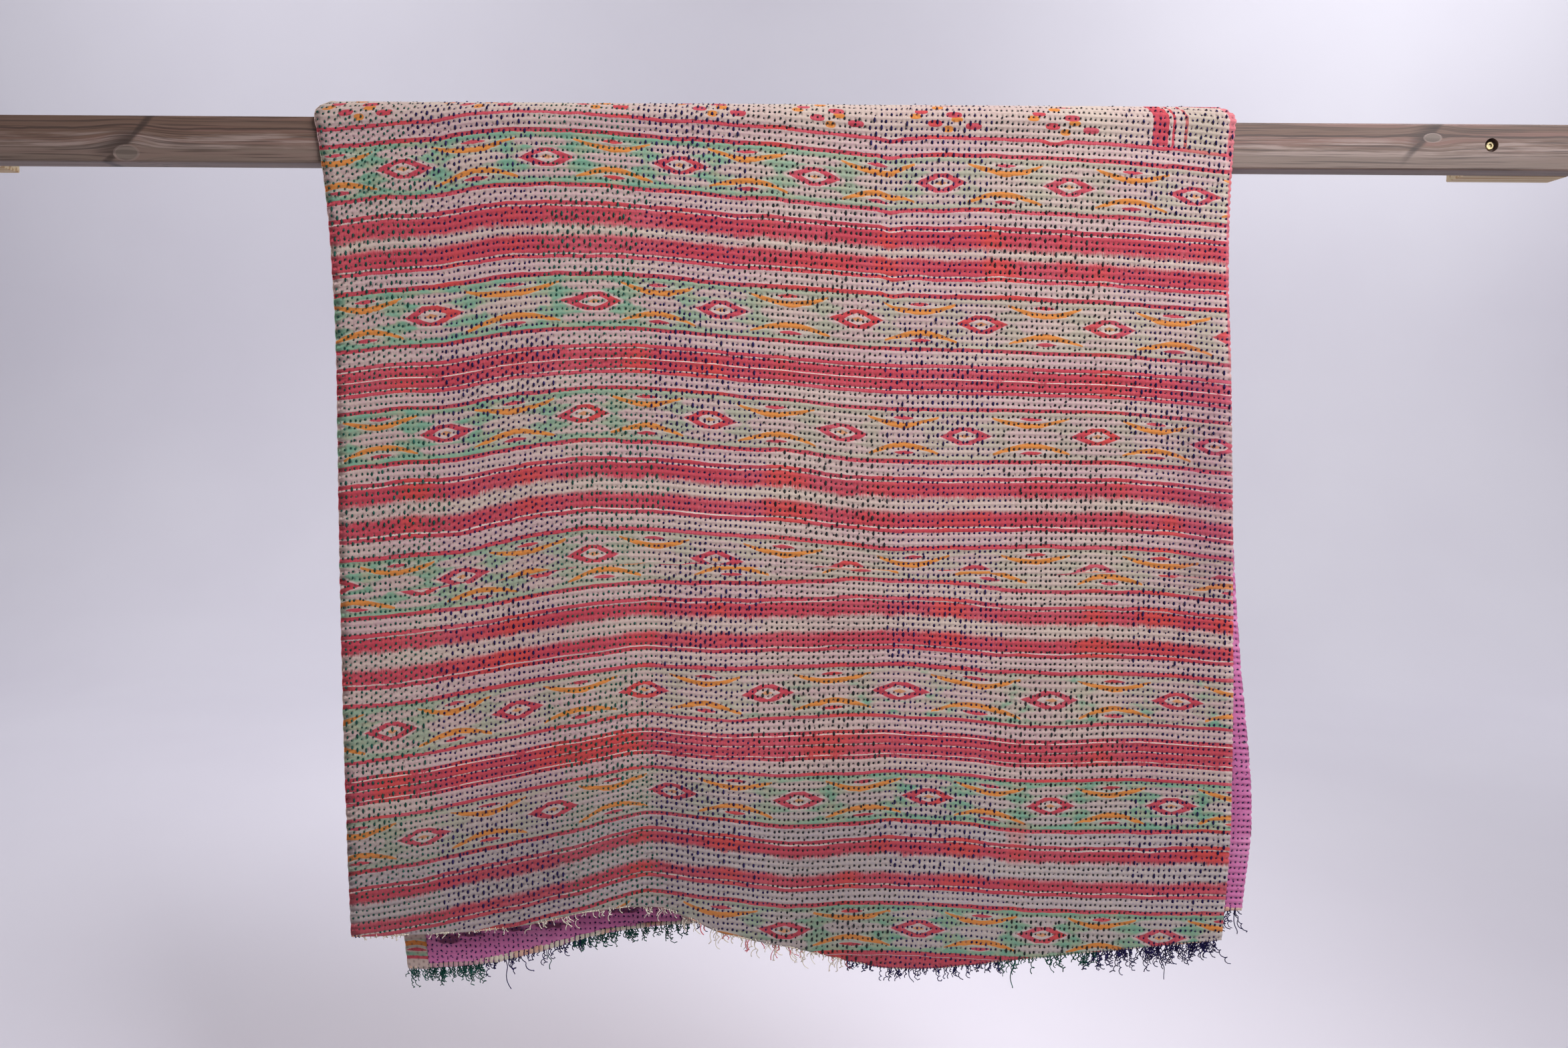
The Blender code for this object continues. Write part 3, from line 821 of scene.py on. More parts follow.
    def motifs(self, finish: Finish) -> None:
        """Adds the masks of hollow diamonds, of pairs of crescents with a dash each, and of green leaves.

        A motif is drawn in millimetres: x from its diamond's middle, far from its end, y from its row's
        middle. The dash is where "dash" is under 1.
        """
        finish.let(
            pitch=MOTIF_PITCH / MM,
            storey=185.0,                           # in one count of the rows
            x="abs(fract(turn + 0.5 + (blot - 0.5) * 0.03) - 0.5) * pitch",
            far="pitch / 2 - x",
            y="abs(fract(ragged + 0.5) - 0.5) * storey",
            ring="most(x / 38.5 + y / 16.5, y / 12.6)",
            inner="(x / 19) ** 1.2 + (y / 8.0) ** 1.2 < 1",
            arc="abs(y - 14 - 11.5 * (far / 52) ** 1.6) + 2.5 * (far / 52) ** 2",
            dash="far / 15 + (abs(y - 24.8) / 2.8) ** 2",
            diamond="(1 - soft(ring, 0.95, 1.03)) * (1 - inner)",
            core="x / 9 + y / 3.2 < 1",
            crescent="(arc + (blot - 0.5) * 3 < 3.9) * (far < 53)",
            halo="most(inner, most((ring < 1.13) * (ring > 1),"
                 " most((arc < 5.6) * (far < 56), dash < 1.9)))",
            creep="(blot - 0.5) * 0.7",
            bare="most(soft(ring + creep, 1.4, 1.1),"
                 " most(soft((x / 41) ** 2 + (abs(y - 21.5) / 7) ** 2 + creep * 2, 1.3, 0.6),"
                 " soft((far / 45) ** 2 + (y / 9) ** 2 + creep * 3, 1.3, 0.6)))",
            leaf="y < 36.5",
            green="leaf * (1 - bare) * (most(soft(far, 12, 38), soft(y, 27, 30)) * 0.62 + 0.38)",
            uneven="(blot - 0.5) * 0.5",
            fresh="most(soft(across + rib * 0.9 + uneven, 1.15, 0.55),"
                  " soft(rib + uneven, 0.80, 0.95) * soft(across, 0.45, 0.75)) * 0.9 + 0.05",
            sage="most(green * (0.40 + fresh * 0.5), leaf * 0.1)",
            mint="green * fresh * soft(blot, 0.25, 0.65)")

    def top_border(self, finish: Finish) -> None:
        """Adds "top_red" and "orange_dabs", the border over the rail: sprigs, and bars by the right edge."""
        finish.let(
            here="(row < -0.335) * (row > -0.8)",
            bars="most(near(across, 1.163, 0.011),"
                 " most(near(across, 1.181, 0.0018), near(across, 1.198, 0.0022)))",
            along="(fract(across / 0.162 + 0.16) - 0.5) * 162",         # millimetres, as the dabs
            tall="(row + 0.5) * 190")
        for name, dabs in (("top_red", RED_DABS), ("orange_dabs", ORANGE_DABS)):
            finish.let(whole=0.0)
            for dab in dabs:
                finish.let(
                    **dab._asdict(),
                    whole="most(whole, (abs(along - u) / wide) ** 2.6 + (abs(tall - v) / high) ** 2.6 < 1)")
            finish.let(**{name: "whole * here * (across < 1.12)"})
        finish.let(top_red="most(top_red, bars * here)")

    def puckers(self, finish: Finish) -> None:
        """Adds "dip", the small hollow that each running stitch pulls into the cloth: 1 in its middle."""
        pace = self.quilting.stitch_gap
        finish.let(
            pace=pace, turns=math.tau / pace, ribs=math.tau / self.quilting.rib,
            slip_by=STITCH_SLIP, sway_by=STITCH_SWAY,
            column="floor(across / pace)",
            leap="soft(0.5 + sin(across * 13 + rib * 9) + sin(rib * 27 - across * 8), 0, 1) * (1.1 - across)"
                 " * (column % 2 * 2 - 1) * slip_by",
            sway="sin(rib * 11 + column * 0.2) * sway_by",
            dip="(0.5 - 0.5 * cos((across - sway) * turns)) ** 2"
                " * (0.5 + 0.5 * cos((rib - leap) * ribs)) ** 2")


@dataclass(frozen=True)
class PinkCotton:
    """The quilt's reverse: plain cotton dyed orchid pink, soft and dull, with the stitches' back side."""

    pink: str = "#C46C9E"
    # painted shade in the hollows that the stitches pull into the cloth
    deep: str = "#97447A"
    pale: str = "#CF8DB0"
    thread: str = "#3A2F63"
    # dark maroon dye, and the painted shadow that the front hem and its puckers cast
    maroon: str = "#4A1A32"
    quilting: Quilting = field(default_factory=Quilting)

    def material(self) -> bpy.types.Material:
        """Builds the material on the map "cloth" (metres)."""
        finish = Finish("plain_cotton_pink", {"cloth": ("across", "rib")},
                        Roughness=0.92, Sheen_Weight=0.15, Sheen_Roughness=0.5)
        finish.grains("cloth", patch=(120, 90, 1, 3), slub=(9, 1.4, 1, 2), blot=(9, 6, 1, 2))
        finish.let(
            turns=math.tau / self.quilting.stitch_gap, ribs=math.tau / self.quilting.rib,
            dip="(0.5 - 0.5 * cos(across * turns)) * (0.5 + 0.5 * cos(rib * ribs))", run=0.0)
        for mark in MAROON_DYE_AND_HEM_SHADOW:
            finish.let(
                **mark._asdict(),
                run="most(run, 1.5 - (abs(across - u) / wide) ** 2 - (abs(rib - v) / high) ** 2)")
        return finish.dress(self.pink, [
            (self.pale, "soft(patch + (slub - 0.5) * 0.5, 0.45, 0.75) * 0.7"),
            # dark maroon dye, and painted shadow that the front hem casts on the pink cloth
            (self.maroon, "soft(run + (blot - 0.5) * 2.4, 0.3, 1.2) * 0.85"),
            # painted shade in the hollows at the stitches
            (self.deep, "dip * dip * 0.6"),
            (self.thread, "soft(dip, 0.80, 0.90)"),
        ], "slub * 0.3 - dip * dip * 0.8", strength=0.9, distance=0.0011)


@dataclass(frozen=True)
class RawHem:
    """A hem turned once and whipped: creamy cotton, fuzzy, with dye that bled in places."""

    cream: str = "#D5C9B4"
    bled: str = "#D98E6E"
    shade: str = "#9C8C84"
    dyed: str = "#B8718C"

    def material(self) -> bpy.types.Material:
        """Builds the material on Object coordinates, a hem being too narrow for a map."""
        finish = Finish("raw_cotton_hem", Roughness=0.95, Sheen_Weight=0.2)
        finish.grains("object", patch=(60, 60, 60, 2), fuzz=(1.5, 1.5, 2.5, 3))
        return finish.dress(self.cream, [
            (self.dyed, "soft(x, -0.41, -0.45) * (x > -0.515) * (z < -1.17) * (0.4 + patch * 0.6)"),
            (self.bled, "soft(patch, 0.52, 0.66) * 0.7"),
            (self.shade, "soft(fuzz, 0.52, 0.75) * 0.5"),
        ], "fuzz", strength=0.8, distance=0.001)


class Thread(Enum):
    """The threads that hold the quilt: their name, colour and lighter, worn colour."""

    NAVY = ("navy", "#160F3E", "#2C2560")
    GREEN = ("green", "#0B3F36", "#27655A")
    DARK = ("dark", "#1B2126", "#363F3F")
    CREAM = ("cream", "#D6CBB9", "#E6DED2")
    CORAL = ("coral", "#C8505C", "#D98A88")

    @property
    def label(self) -> str:
        """The thread's plain name."""
        return self.value[0]

    def material(self) -> bpy.types.Material:
        """Builds the finish: spun cotton, matt, a little lighter where it has worn."""
        name = f"cotton_thread_{self.label}"
        if name in bpy.data.materials:
            return bpy.data.materials[name]
        finish = Finish(name, Roughness=0.9, Specular_IOR_Level=0.2)
        finish.grains("object", worn=(9, 9, 9, 2), twist=(0.6, 0.6, 0.6, 1))
        return finish.dress(self.value[1], [(self.value[2], "soft(worn, 0.42, 0.8)")],
                            "twist", strength=0.5, distance=0.0004)


class Knot(NamedTuple):
    """A knot in the rail's front: its middle and how far it bends the grain round it."""

    x: float
    z: float
    wide: float
    high: float


@dataclass(frozen=True)
class StainedPine:
    """Planed pine under a thin brown stain, worn pale along the grain of its rounded face, with a painted
    highlight.
    """

    base: str = "#6C5345"
    dark: str = "#3B2C25"
    rosy: str = "#7B5B50"
    worn: str = "#9C8980"
    # also the colour of the painted highlight along the middle of the rounded face
    grey: str = "#77695F"
    knots: tuple[Knot, ...] = (Knot(-0.9005, -0.0195, 0.017, 0.0105), Knot(0.905, 0.012, 0.012, 0.006))

    def material(self) -> bpy.types.Material:
        """Builds the material on Object coordinates, the grain along X."""
        finish = Finish("stained_pine", Roughness=0.6, Coat_Weight=0.08, Coat_Roughness=0.5)
        finish.grains("object", wander=(60, 60, 60, 2))
        finish.let(bent="z", heart=0.0, rim=0.0, flame=0.0)
        for knot in self.knots:
            finish.let(
                kx=knot.x, kz=knot.z, wide=knot.wide, high=knot.high,
                away="((x - kx) / wide) ** 2 + ((z - kz) / high) ** 2",
                bent="bent - (z - kz) * exp(0 - away / 7) * 0.8",
                heart="most(heart, soft(away, 1.1, 0.8))",
                rim="most(rim, near(away, 1.0, 0.22))",
                lean="x - kx - z + kz + high * 1.55 + (wander - 0.5) * 0.012",
                smudge="(lean < 0) * soft(lean, 0 - wide * 3, 0)"
                       " * soft(abs(z - kz - high * 1.3), 0.026, 0.008)",
                flame="most(flame, most(soft(abs(lean), 0.010, 0.002) * (away > 1.1), smudge)"
                      " * soft(abs(x - kx), wide * 4, wide * 2))")
        along = dict(enumerate(finish.of(name) for name in ("x", "y", "bent")))
        finish.known["lines"] = add(finish.tree, "ShaderNodeCombineXYZ", along)
        finish.grains("lines", broad=(420, 9, 9, 3), fine=(150, 2.2, 2.2, 2), pores=(24, 0.7, 0.7, 1),
                      rub=(130, 5, 4, 2))
        return finish.dress(self.base, [
            (self.rosy, "soft(broad, 0.45, 0.62)"),
            (self.grey, "soft(z, 0.004, -0.014) * 0.6"),
            # pale worn streaks along the grain, and a painted highlight: the band along the rounded face's
            # middle is lighter as the light falls
            (self.worn, "soft(rub + pores * 0.35, 0.58, 0.84)"
                        " * (soft(abs(z + 0.002), 0.016, 0.006) * 0.75 + 0.08)"),
            (self.dark, "soft(fine, 0.50, 0.68) * 0.7"),
            (self.dark, "near(bent + (wander - 0.5) * 0.006, 0.0135, 0.0014) * 0.7"
                        " + near(bent, 0.0235, 0.0008) * 0.4"),
            (self.dark, "flame * (0.6 + soft(fine, 0.3, 0.6) * 0.35)"),
            (self.grey, "heart"),
            (self.dark, "heart * soft(fine, 0.42, 0.56) * 0.45"),
            (self.worn, "rim * (0.2 + soft(rub, 0.4, 0.7) * 0.5)"),
        ], "pores * 0.5 + fine * 0.5", strength=0.35, distance=0.0006)


@dataclass(frozen=True)
class RawPine:
    """Sawn pine, bare and yellowed, with dark lines of late wood."""

    pale: str = "#CDBB98"
    late: str = "#A07A4E"
    grey: str = "#8F8068"

    def material(self) -> bpy.types.Material:
        """Builds the material on Object coordinates, the grain along X."""
        finish = Finish("sawn_pine", Roughness=0.8)
        finish.grains("object", rings=(260, 5, 7, 2), saw=(1.2, 30, 30, 2))
        return finish.dress(self.pale, [
            (self.late, "soft(rings, 0.48, 0.66) * 0.8"),
            (self.grey, "soft(saw, 0.5, 0.8) * 0.35"),      # faint marks across the grain
        ], "saw", strength=0.4, distance=0.0005)


@dataclass(frozen=True)
class PlatedSteel:
    """Steel plated yellow: a screw head turned smooth, dulled by fingers."""

    plate: str = "#C9B98A"
    dull: str = "#8C8068"

    def material(self) -> bpy.types.Material:
        """Builds the material on Object coordinates."""
        finish = Finish("yellow_plated_steel", Metallic=1.0, Roughness=0.42)
        finish.grains("object", smear=(3, 3, 3, 3))
        return finish.dress(self.plate, [(self.dull, "soft(smear, 0.4, 0.7)")],
                            "smear", strength=0.2, distance=0.0003)


@dataclass(frozen=True)
class StudioPaint:
    """Matt studio paint, pale and a touch violet."""

    colour: str = "#ECE9F2"
    shade: str = "#E4E0EB"

    def material(self) -> bpy.types.Material:
        """Builds the material on Object coordinates."""
        finish = Finish("studio_paint", Roughness=0.95)
        finish.grains("object", cloudy=(900, 900, 900, 2))
        return finish.dress(self.colour, [(self.shade, "cloudy")])


# ---------------------------------------------------------------- cloth
@dataclass
class ClothLayer:
    """One layer of the quilt: a thin closed sheet, quilted on the side that shows.

    The other side, which lies against its neighbour, has far fewer faces.
    """

    quilting: Quilting
    columns: int
    rows_to_a_rib: int
    shown_side: int                 # 1 where the outer side shows, 0 where the inner side does
    start: float = 1.0465           # ribs are level with the quilting between these two, and
    end: float = -1.1011            # are squeezed towards the hems beyond them
    over_rail: tuple[float, float] = (0.11, -0.19)      # where the plain side's lines are close
    longest_front: float = 0.8      # where across each half hangs lowest
    longest_back: float = 0.0
    rim: float = 0.004              # so near an edge the ribs also push sideways,
    push: float = 0.7               # by this share of their height

    def levels(self) -> tuple[int, int, int]:
        """Counts the lines of points near the front hem, in the middle and near the back hem."""
        line = self.quilting.rib / self.rows_to_a_rib
        lowest_front = float(self.quilting.front_hem(np.array([self.longest_front]))[0])
        lowest_back = float(self.quilting.back_hem(np.array([self.longest_back]))[0])
        front = math.ceil((lowest_front - self.start) / line)
        back = math.ceil((self.end - lowest_back) / line)
        return front, round((self.start - self.end) / line), back

    def rib_at(self, across: Array, level: Array) -> Array:
        """Turns a line's number, counted from the front hem, to a place along the quilting.

        Args:
            across: places across the cloth.
            level: numbers of lines.

        Returns:
            Places along the quilting.
        """
        front, middle, back = self.levels()
        front_hem, back_hem = self.quilting.front_hem(across), self.quilting.back_hem(across)
        near_front = front_hem + (self.start - front_hem) * level / front
        between = self.start + (self.end - self.start) * (level - front) / middle
        near_back = self.end + (back_hem - self.end) * (level - front - middle) / back
        return np.where(level < front, near_front, np.where(level > front + middle, near_back, between))

    def plain_levels(self) -> list[int]:
        """Lists the lines that the plain side has: close over the rail, far apart elsewhere."""
        front, middle, back = self.levels()
        total = front + middle + back
        line = self.quilting.rib / self.rows_to_a_rib
        first, last = (front + round((self.start - at) / line) for at in self.over_rail)
        far, close = 8 * self.rows_to_a_rib, self.rows_to_a_rib - 1
        return [*range(0, first, far), *range(first, last, close), *range(last, total, far), total]

    def blank(self) -> bpy.types.Mesh:
        """Makes the sheet flat: x is the share across, y the line's number and z the side."""
        levels = self.plain_levels()
        bm = bmesh.new()
        bmesh.ops.create_grid(bm, x_segments=self.columns, y_segments=len(levels) - 1, size=0.5)
        for vert in bm.verts:
            vert.co.x += 0.5
            vert.co.y = levels[round((vert.co.y + 0.5) * (len(levels) - 1))]
        closed_sheet(bm)
        steps = [after - before for before, after in zip(levels, levels[1:])]
        for gap in sorted(set(steps) - {1}):
            runs = [edge for edge in bm.edges
                    if all(abs(vert.co.z - self.shown_side) < 0.1 for vert in edge.verts)
                    and abs(abs(edge.verts[0].co.y - edge.verts[1].co.y) - gap) < 0.1]
            bmesh.ops.subdivide_edges(bm, edges=runs, cuts=gap - 1, use_grid_fill=True)
        bmesh.ops.triangulate(bm, faces=[face for face in bm.faces if len(face.verts) > 4])
        return mesh_of(bm)

    def build(self, name: str, outer: float, inner: float, material: bpy.types.Material) -> bpy.types.Object:
        """Hangs the layer over the rail.

        Args:
            name: the piece's name.
            outer: depth of its outer side.
            inner: depth of its inner side.
            material: its finish.

        Returns:
            The new piece.
        """
        mesh = self.blank()
        share, level, side = corners(mesh).T
        across = share * self.quilting.drape.width
        rib = self.rib_at(across, level)
        swell = self.quilting.swell(across, rib)
        at_rim = np.minimum(share, 1 - share) * self.quilting.drape.width < self.rim
        nudge = np.where(at_rim, np.sign(share - 0.5) * swell * self.push, 0.0)
        shown = np.abs(side - self.shown_side) < 0.1
        depth = np.where(side > 0.5, outer, inner)
        depth = depth + np.where(shown, swell * (1 if self.shown_side else -1), 0.0)
        down = self.quilting.down_of(across, rib)
        move_corners(mesh, self.quilting.drape.place(across + nudge, down, depth))
        lay_map(mesh, "cloth", np.stack([across, rib], axis=-1))
        lay_map(mesh, "dye", self.quilting.dye(across, rib))
        return new_object(name, mesh, material)


@dataclass
class SideHem:
    """The face cloth folded round the quilt's left edge and sewn down on the reverse."""

    quilting: Quilting
    width: float = 0.032
    thickness: float = 0.0009
    gap: float = 0.0003
    turn_share: float = 0.30        # of its points across, this share goes round the edge
    bulge: float = 0.45             # how far it stands out there, over the turn's radius
    slip: float = 0.073             # on the back its stripes don't meet those of the face
    steps: int = 390

    def build(self, material: bpy.types.Material) -> bpy.types.Object:
        """Builds the fold as a narrow closed strip that wraps the edge.

        Args:
            material: the face cloth's finish.

        Returns:
            The new piece.
        """
        quilting, drape = self.quilting, self.quilting.drape
        bm = bmesh.new()
        bmesh.ops.create_grid(bm, x_segments=14, y_segments=self.steps, size=0.5)
        for vert in bm.verts:
            vert.co += Vector((0.5, 0.5, 0.0))
        closed_sheet(bm)
        mesh = mesh_of(bm)
        share, along, side = corners(mesh).T
        outer, inner = quilting.face_outer + self.gap, quilting.backing_inner - self.gap
        thickness = np.where(side > 0.5, self.thickness, 0.0)
        turn = np.clip(share / self.turn_share, 0.0, 1.0) * math.pi
        radius = (outer - inner) / 2 + thickness
        flat = share > self.turn_share
        flat_across = (share - self.turn_share) / (1 - self.turn_share) * self.width
        across = np.where(flat, flat_across, -np.sin(turn) * radius * self.bulge)
        depth = np.where(flat, inner - thickness, (outer + inner) / 2 + np.cos(turn) * radius)
        front, back = quilting.front_hem(np.zeros(1)), quilting.back_hem(np.zeros(1))
        rib = np.broadcast_to(front + (back - front) * (1 - along), along.shape)
        down = quilting.down_of(np.zeros_like(rib), rib)
        swell = quilting.swell(np.zeros_like(rib), rib)
        depth = depth + np.where(flat, -swell * 0.6, swell * 0.4 * np.cos(turn))
        move_corners(mesh, drape.place(across - swell * 0.5 * (share < self.turn_share), down, depth))
        mirrored = np.abs(across)
        lay_map(mesh, "cloth", np.stack([mirrored, rib], axis=-1))
        out_of_step = self.slip * smooth_step((-rib - 0.2) / 0.1)
        lay_map(mesh, "dye", quilting.dye(mirrored, rib + out_of_step))
        return new_object("quilt_side_hem", mesh, material)


# ---------------------------------------------------------------- stitches and threads
@dataclass
class Stitches:
    """Running stitches: one short float of thread at every crossing of a column and a row."""

    quilting: Quilting
    zone_edges: tuple[float, ...] = (0.136, 0.309, 0.445, 0.597, 0.771, 0.934, 1.118)
    zone_threads: tuple[Thread, ...] = (Thread.GREEN, Thread.NAVY, Thread.GREEN, Thread.NAVY,
                                        Thread.DARK, Thread.NAVY, Thread.DARK, Thread.NAVY)
    short: float = 0.0040
    long: float = 0.0071
    width: float = 0.0030
    faint: float = 0.72             # the size of a faint stitch beside a short one
    long_chance: float = 0.85       # that a crossing in a beat takes a long stitch
    lift: float = 0.0007            # of a short stitch's middle over the cloth
    seed: int = 7
    green_beat: tuple[float, float] = (0.175, 0.345)    # where long stitches start down the cloth, and
    navy_beat: tuple[float, float] = (0.030, 0.333)     # how far on they come again
    margin: float = 0.003           # how near a hem or a side edge they come
    hem_margin: float = 0.034       # how near the left edge on the reverse, where the side hem lies

    def instancer(self, material: bpy.types.Material, rings: int) -> bpy.types.NodeTree:
        """Builds the Geometry Nodes tree that puts a stitch on every marked point.

        Args:
            material: the thread's finish.
            rings: how finely a stitch is rounded.

        Returns:
            The node tree.
        """
        tree = bpy.data.node_groups.new("stitch_on_each_point", "GeometryNodeTree")
        tree.interface.new_socket("Geometry", in_out="INPUT", socket_type="NodeSocketGeometry")
        tree.interface.new_socket("Geometry", in_out="OUTPUT", socket_type="NodeSocketGeometry")
        source = add(tree, "NodeGroupInput")
        turn = add(tree, "GeometryNodeInputNamedAttribute", {"Name": "turn"}, data_type="FLOAT_VECTOR")
        size = add(tree, "GeometryNodeInputNamedAttribute", {"Name": "size"}, data_type="FLOAT_VECTOR")
        sewn = add(tree, "GeometryNodeInputNamedAttribute", {"Name": "sewn"}, data_type="BOOLEAN")
        bead = add(tree, "GeometryNodeMeshUVSphere", {"Segments": 4, "Rings": rings, "Radius": 1.0})
        soft = add(tree, "GeometryNodeSetShadeSmooth", {"Geometry": bead})
        thread = add(tree, "GeometryNodeSetMaterial", {"Geometry": soft, "Material": material})
        placed = add(tree, "GeometryNodeInstanceOnPoints", {
            "Points": source, "Selection": sewn, "Instance": thread, "Rotation": turn, "Scale": size})
        real = add(tree, "GeometryNodeRealizeInstances", {"Geometry": placed})
        add(tree, "NodeGroupOutput", {0: real})
        return tree

    def points(self, first_row: int, last_row: int) -> dict[str, Array]:
        """Works out where the stitches of a stretch of cloth lie, and how long they are.

        Args:
            first_row: number of the lowest row, counted from the rail's front top edge.
            last_row: number of the row after the last.

        Returns:
            Places across and along the quilting, lengths, widths and thread numbers, one for each stitch.
        """
        rng = np.random.default_rng(self.seed + first_row % 5)
        quilting, width = self.quilting, self.quilting.drape.width
        columns = round(width / quilting.stitch_gap)
        column, row = (a.ravel() for a in np.meshgrid(np.arange(columns), np.arange(first_row, last_row)))
        across, rib = (column + 0.5) * quilting.stitch_gap, row * quilting.rib
        wander = 0.010 * np.sin(rib * 9) + 0.008 * np.sin(rib * 31 + 1) + rng.normal(0, 0.003, len(rib))
        zone = np.searchsorted(self.zone_edges, across + wander)
        edges = np.array([0.0, *self.zone_edges, width])
        aside = (across + wander - edges[zone]) / (edges[zone + 1] - edges[zone]) * 2 - 1
        navy_beat, green_beat = np.array(self.navy_beat)[:, None], np.array(self.green_beat)[:, None]
        start, period = np.where(zone % 2 == 1, navy_beat, green_beat)
        uneven = 0.22 * np.sin(across * 41 + rib * 19) + 0.2 * np.sin(rib * 37 - across * 23 + zone)
        strength = np.cos((rib - start) / period * math.tau) - 0.35 * aside ** 4 + uneven
        chance = smooth_step((strength + 0.05) / 0.55)
        odd = (column + row) % 2 == 0       # every other crossing there takes a long stitch
        is_long = odd & (rng.random(len(rib)) < chance * self.long_chance)
        is_faint = ~is_long & (rng.random(len(rib)) < 0.12 + 0.5 * chance)
        length = np.where(is_long, self.long, np.where(is_faint, self.short * self.faint, self.short))
        thick = self.width * np.where(is_long, 1.08, np.where(is_faint, self.faint, 1.0))
        stagger = smooth_step(0.5 + np.sin(across * 13 + rib * 9) + np.sin(rib * 27 - across * 8))
        stagger = stagger * (1.1 - across)
        sway = STITCH_SWAY * np.sin(rib * 11 + column * 0.2)
        slip = STITCH_SLIP * stagger * (column % 2 * 2 - 1)
        return {
            "across": across + rng.normal(0, 0.0008, len(rib)) + sway,
            "rib": rib + rng.normal(0, 0.0010, len(rib)) + slip,
            "length": length * rng.uniform(0.78, 1.22, len(rib)),
            "width": thick * rng.uniform(0.85, 1.15, len(rib)),
            "zone": zone,
        }

    def build(self, name: str, first_row: int, last_row: int, thread: Thread, reverse: bool = False,
              start_across: float = 0.0) -> bpy.types.Object:
        """Sews the stitches of one thread over a stretch of cloth.

        Args:
            name: the piece's name.
            first_row: number of the lowest row, counted from the rail's front top edge.
            last_row: number of the row after the last.
            thread: which thread.
            reverse: whether they lie on the pink side.
            start_across: where the stretch starts, from the left edge.

        Returns:
            The new piece.
        """
        quilting, drape = self.quilting, self.quilting.drape
        sewn = self.points(first_row, last_row)
        across, rib, length = sewn["across"], sewn["rib"], sewn["length"]
        rows, columns = last_row - first_row, round(drape.width / quilting.stitch_gap)
        down = quilting.down_of(across, rib)
        inside = rib < quilting.front_hem(across) - self.margin
        inside &= rib > quilting.back_hem(across) + self.margin
        clear = self.hem_margin if reverse else self.margin
        inside &= (across > max(start_across, clear)) & (across < drape.width - self.margin)
        mine = inside & (reverse | np.array([kind is thread for kind in self.zone_threads])[sewn["zone"]])
        if reverse:
            length = np.minimum(length, self.short) * 0.8
        lift = quilting.swell(across, rib) + self.lift + (length - self.short) * 0.16
        depth = quilting.backing_inner - lift if reverse else quilting.face_outer + lift
        ways = drape.directions(across, down)
        places = drape.place(across, down, depth)
        turns = [Matrix(np.stack((side, out, -up), axis=-1)).to_euler() for side, up, out in zip(*ways)]
        bm = bmesh.new()
        bmesh.ops.create_grid(bm, x_segments=columns - 1, y_segments=rows - 1, size=0.5)
        bmesh.ops.delete(bm, geom=bm.faces[:], context="FACES_ONLY")
        mesh = mesh_of(bm)
        flat = corners(mesh) + 0.5
        row_of, column_of = np.rint(flat[:, 1] * (rows - 1)), np.rint(flat[:, 0] * (columns - 1))
        order = (row_of * columns + column_of).astype(int)
        move_corners(mesh, places[order])
        sizes = np.stack([sewn["width"] * 0.5, sewn["width"] * 0.25, length * 0.5], axis=-1)
        for label, values in (("turn", np.array(turns)), ("size", sizes)):
            layer = mesh.attributes.new(label, "FLOAT_VECTOR", "POINT")
            layer.data.foreach_set("vector", values[order].astype(np.float32).ravel())
        mesh.attributes.new("sewn", "BOOLEAN", "POINT").data.foreach_set("value", mine[order])
        rings = 3 if first_row >= 0 else 2
        blank = bpy.data.objects.new("stitch_places", mesh)
        blank.modifiers.new("stitches", "NODES").node_group = self.instancer(thread.material(), rings)
        return new_object(name, evaluated_mesh(blank), thread.material())


@dataclass
class Yarns:
    """Loose lengths of thread, gathered and made one mesh of thin four-sided tubes."""

    radius: float = 0.0007
    lines: list[Array] = field(default_factory=list)

    def build(self, name: str, material: bpy.types.Material) -> bpy.types.Object:
        """Turns the gathered lines to one piece.

        Args:
            name: the piece's name.
            material: the thread's finish.

        Returns:
            The new piece.
        """
        curve = bpy.data.curves.new(name, "CURVE")
        curve.dimensions = "3D"
        curve.bevel_depth = self.radius
        curve.bevel_resolution = 0
        curve.use_fill_caps = True
        for line in self.lines:
            spline = curve.splines.new("POLY")
            spline.points.add(len(line) - 1)
            weighted = np.hstack([line, np.ones((len(line), 1))])
            spline.points.foreach_set("co", weighted.astype(np.float32).ravel())
        mesh = evaluated_mesh(bpy.data.objects.new(name + "_line", curve))
        bm = bmesh.new()
        bm.from_mesh(mesh)
        bmesh.ops.remove_doubles(bm, verts=bm.verts, dist=1e-6)
        bm.to_mesh(mesh)
        bm.free()
        return new_object(name, mesh, material)


class Side(Enum):
    """Which hem a thing is on."""

    FRONT = "front"
    BACK = "back"


class Fray(NamedTuple):
    """A stretch of frayed hem: shares of the width, threads, lengths in mm, how curly, which thread."""

    side: Side
    start: float
    end: float
    threads: int
    shortest: float
    longest: float
    curl: float
    thread: Thread


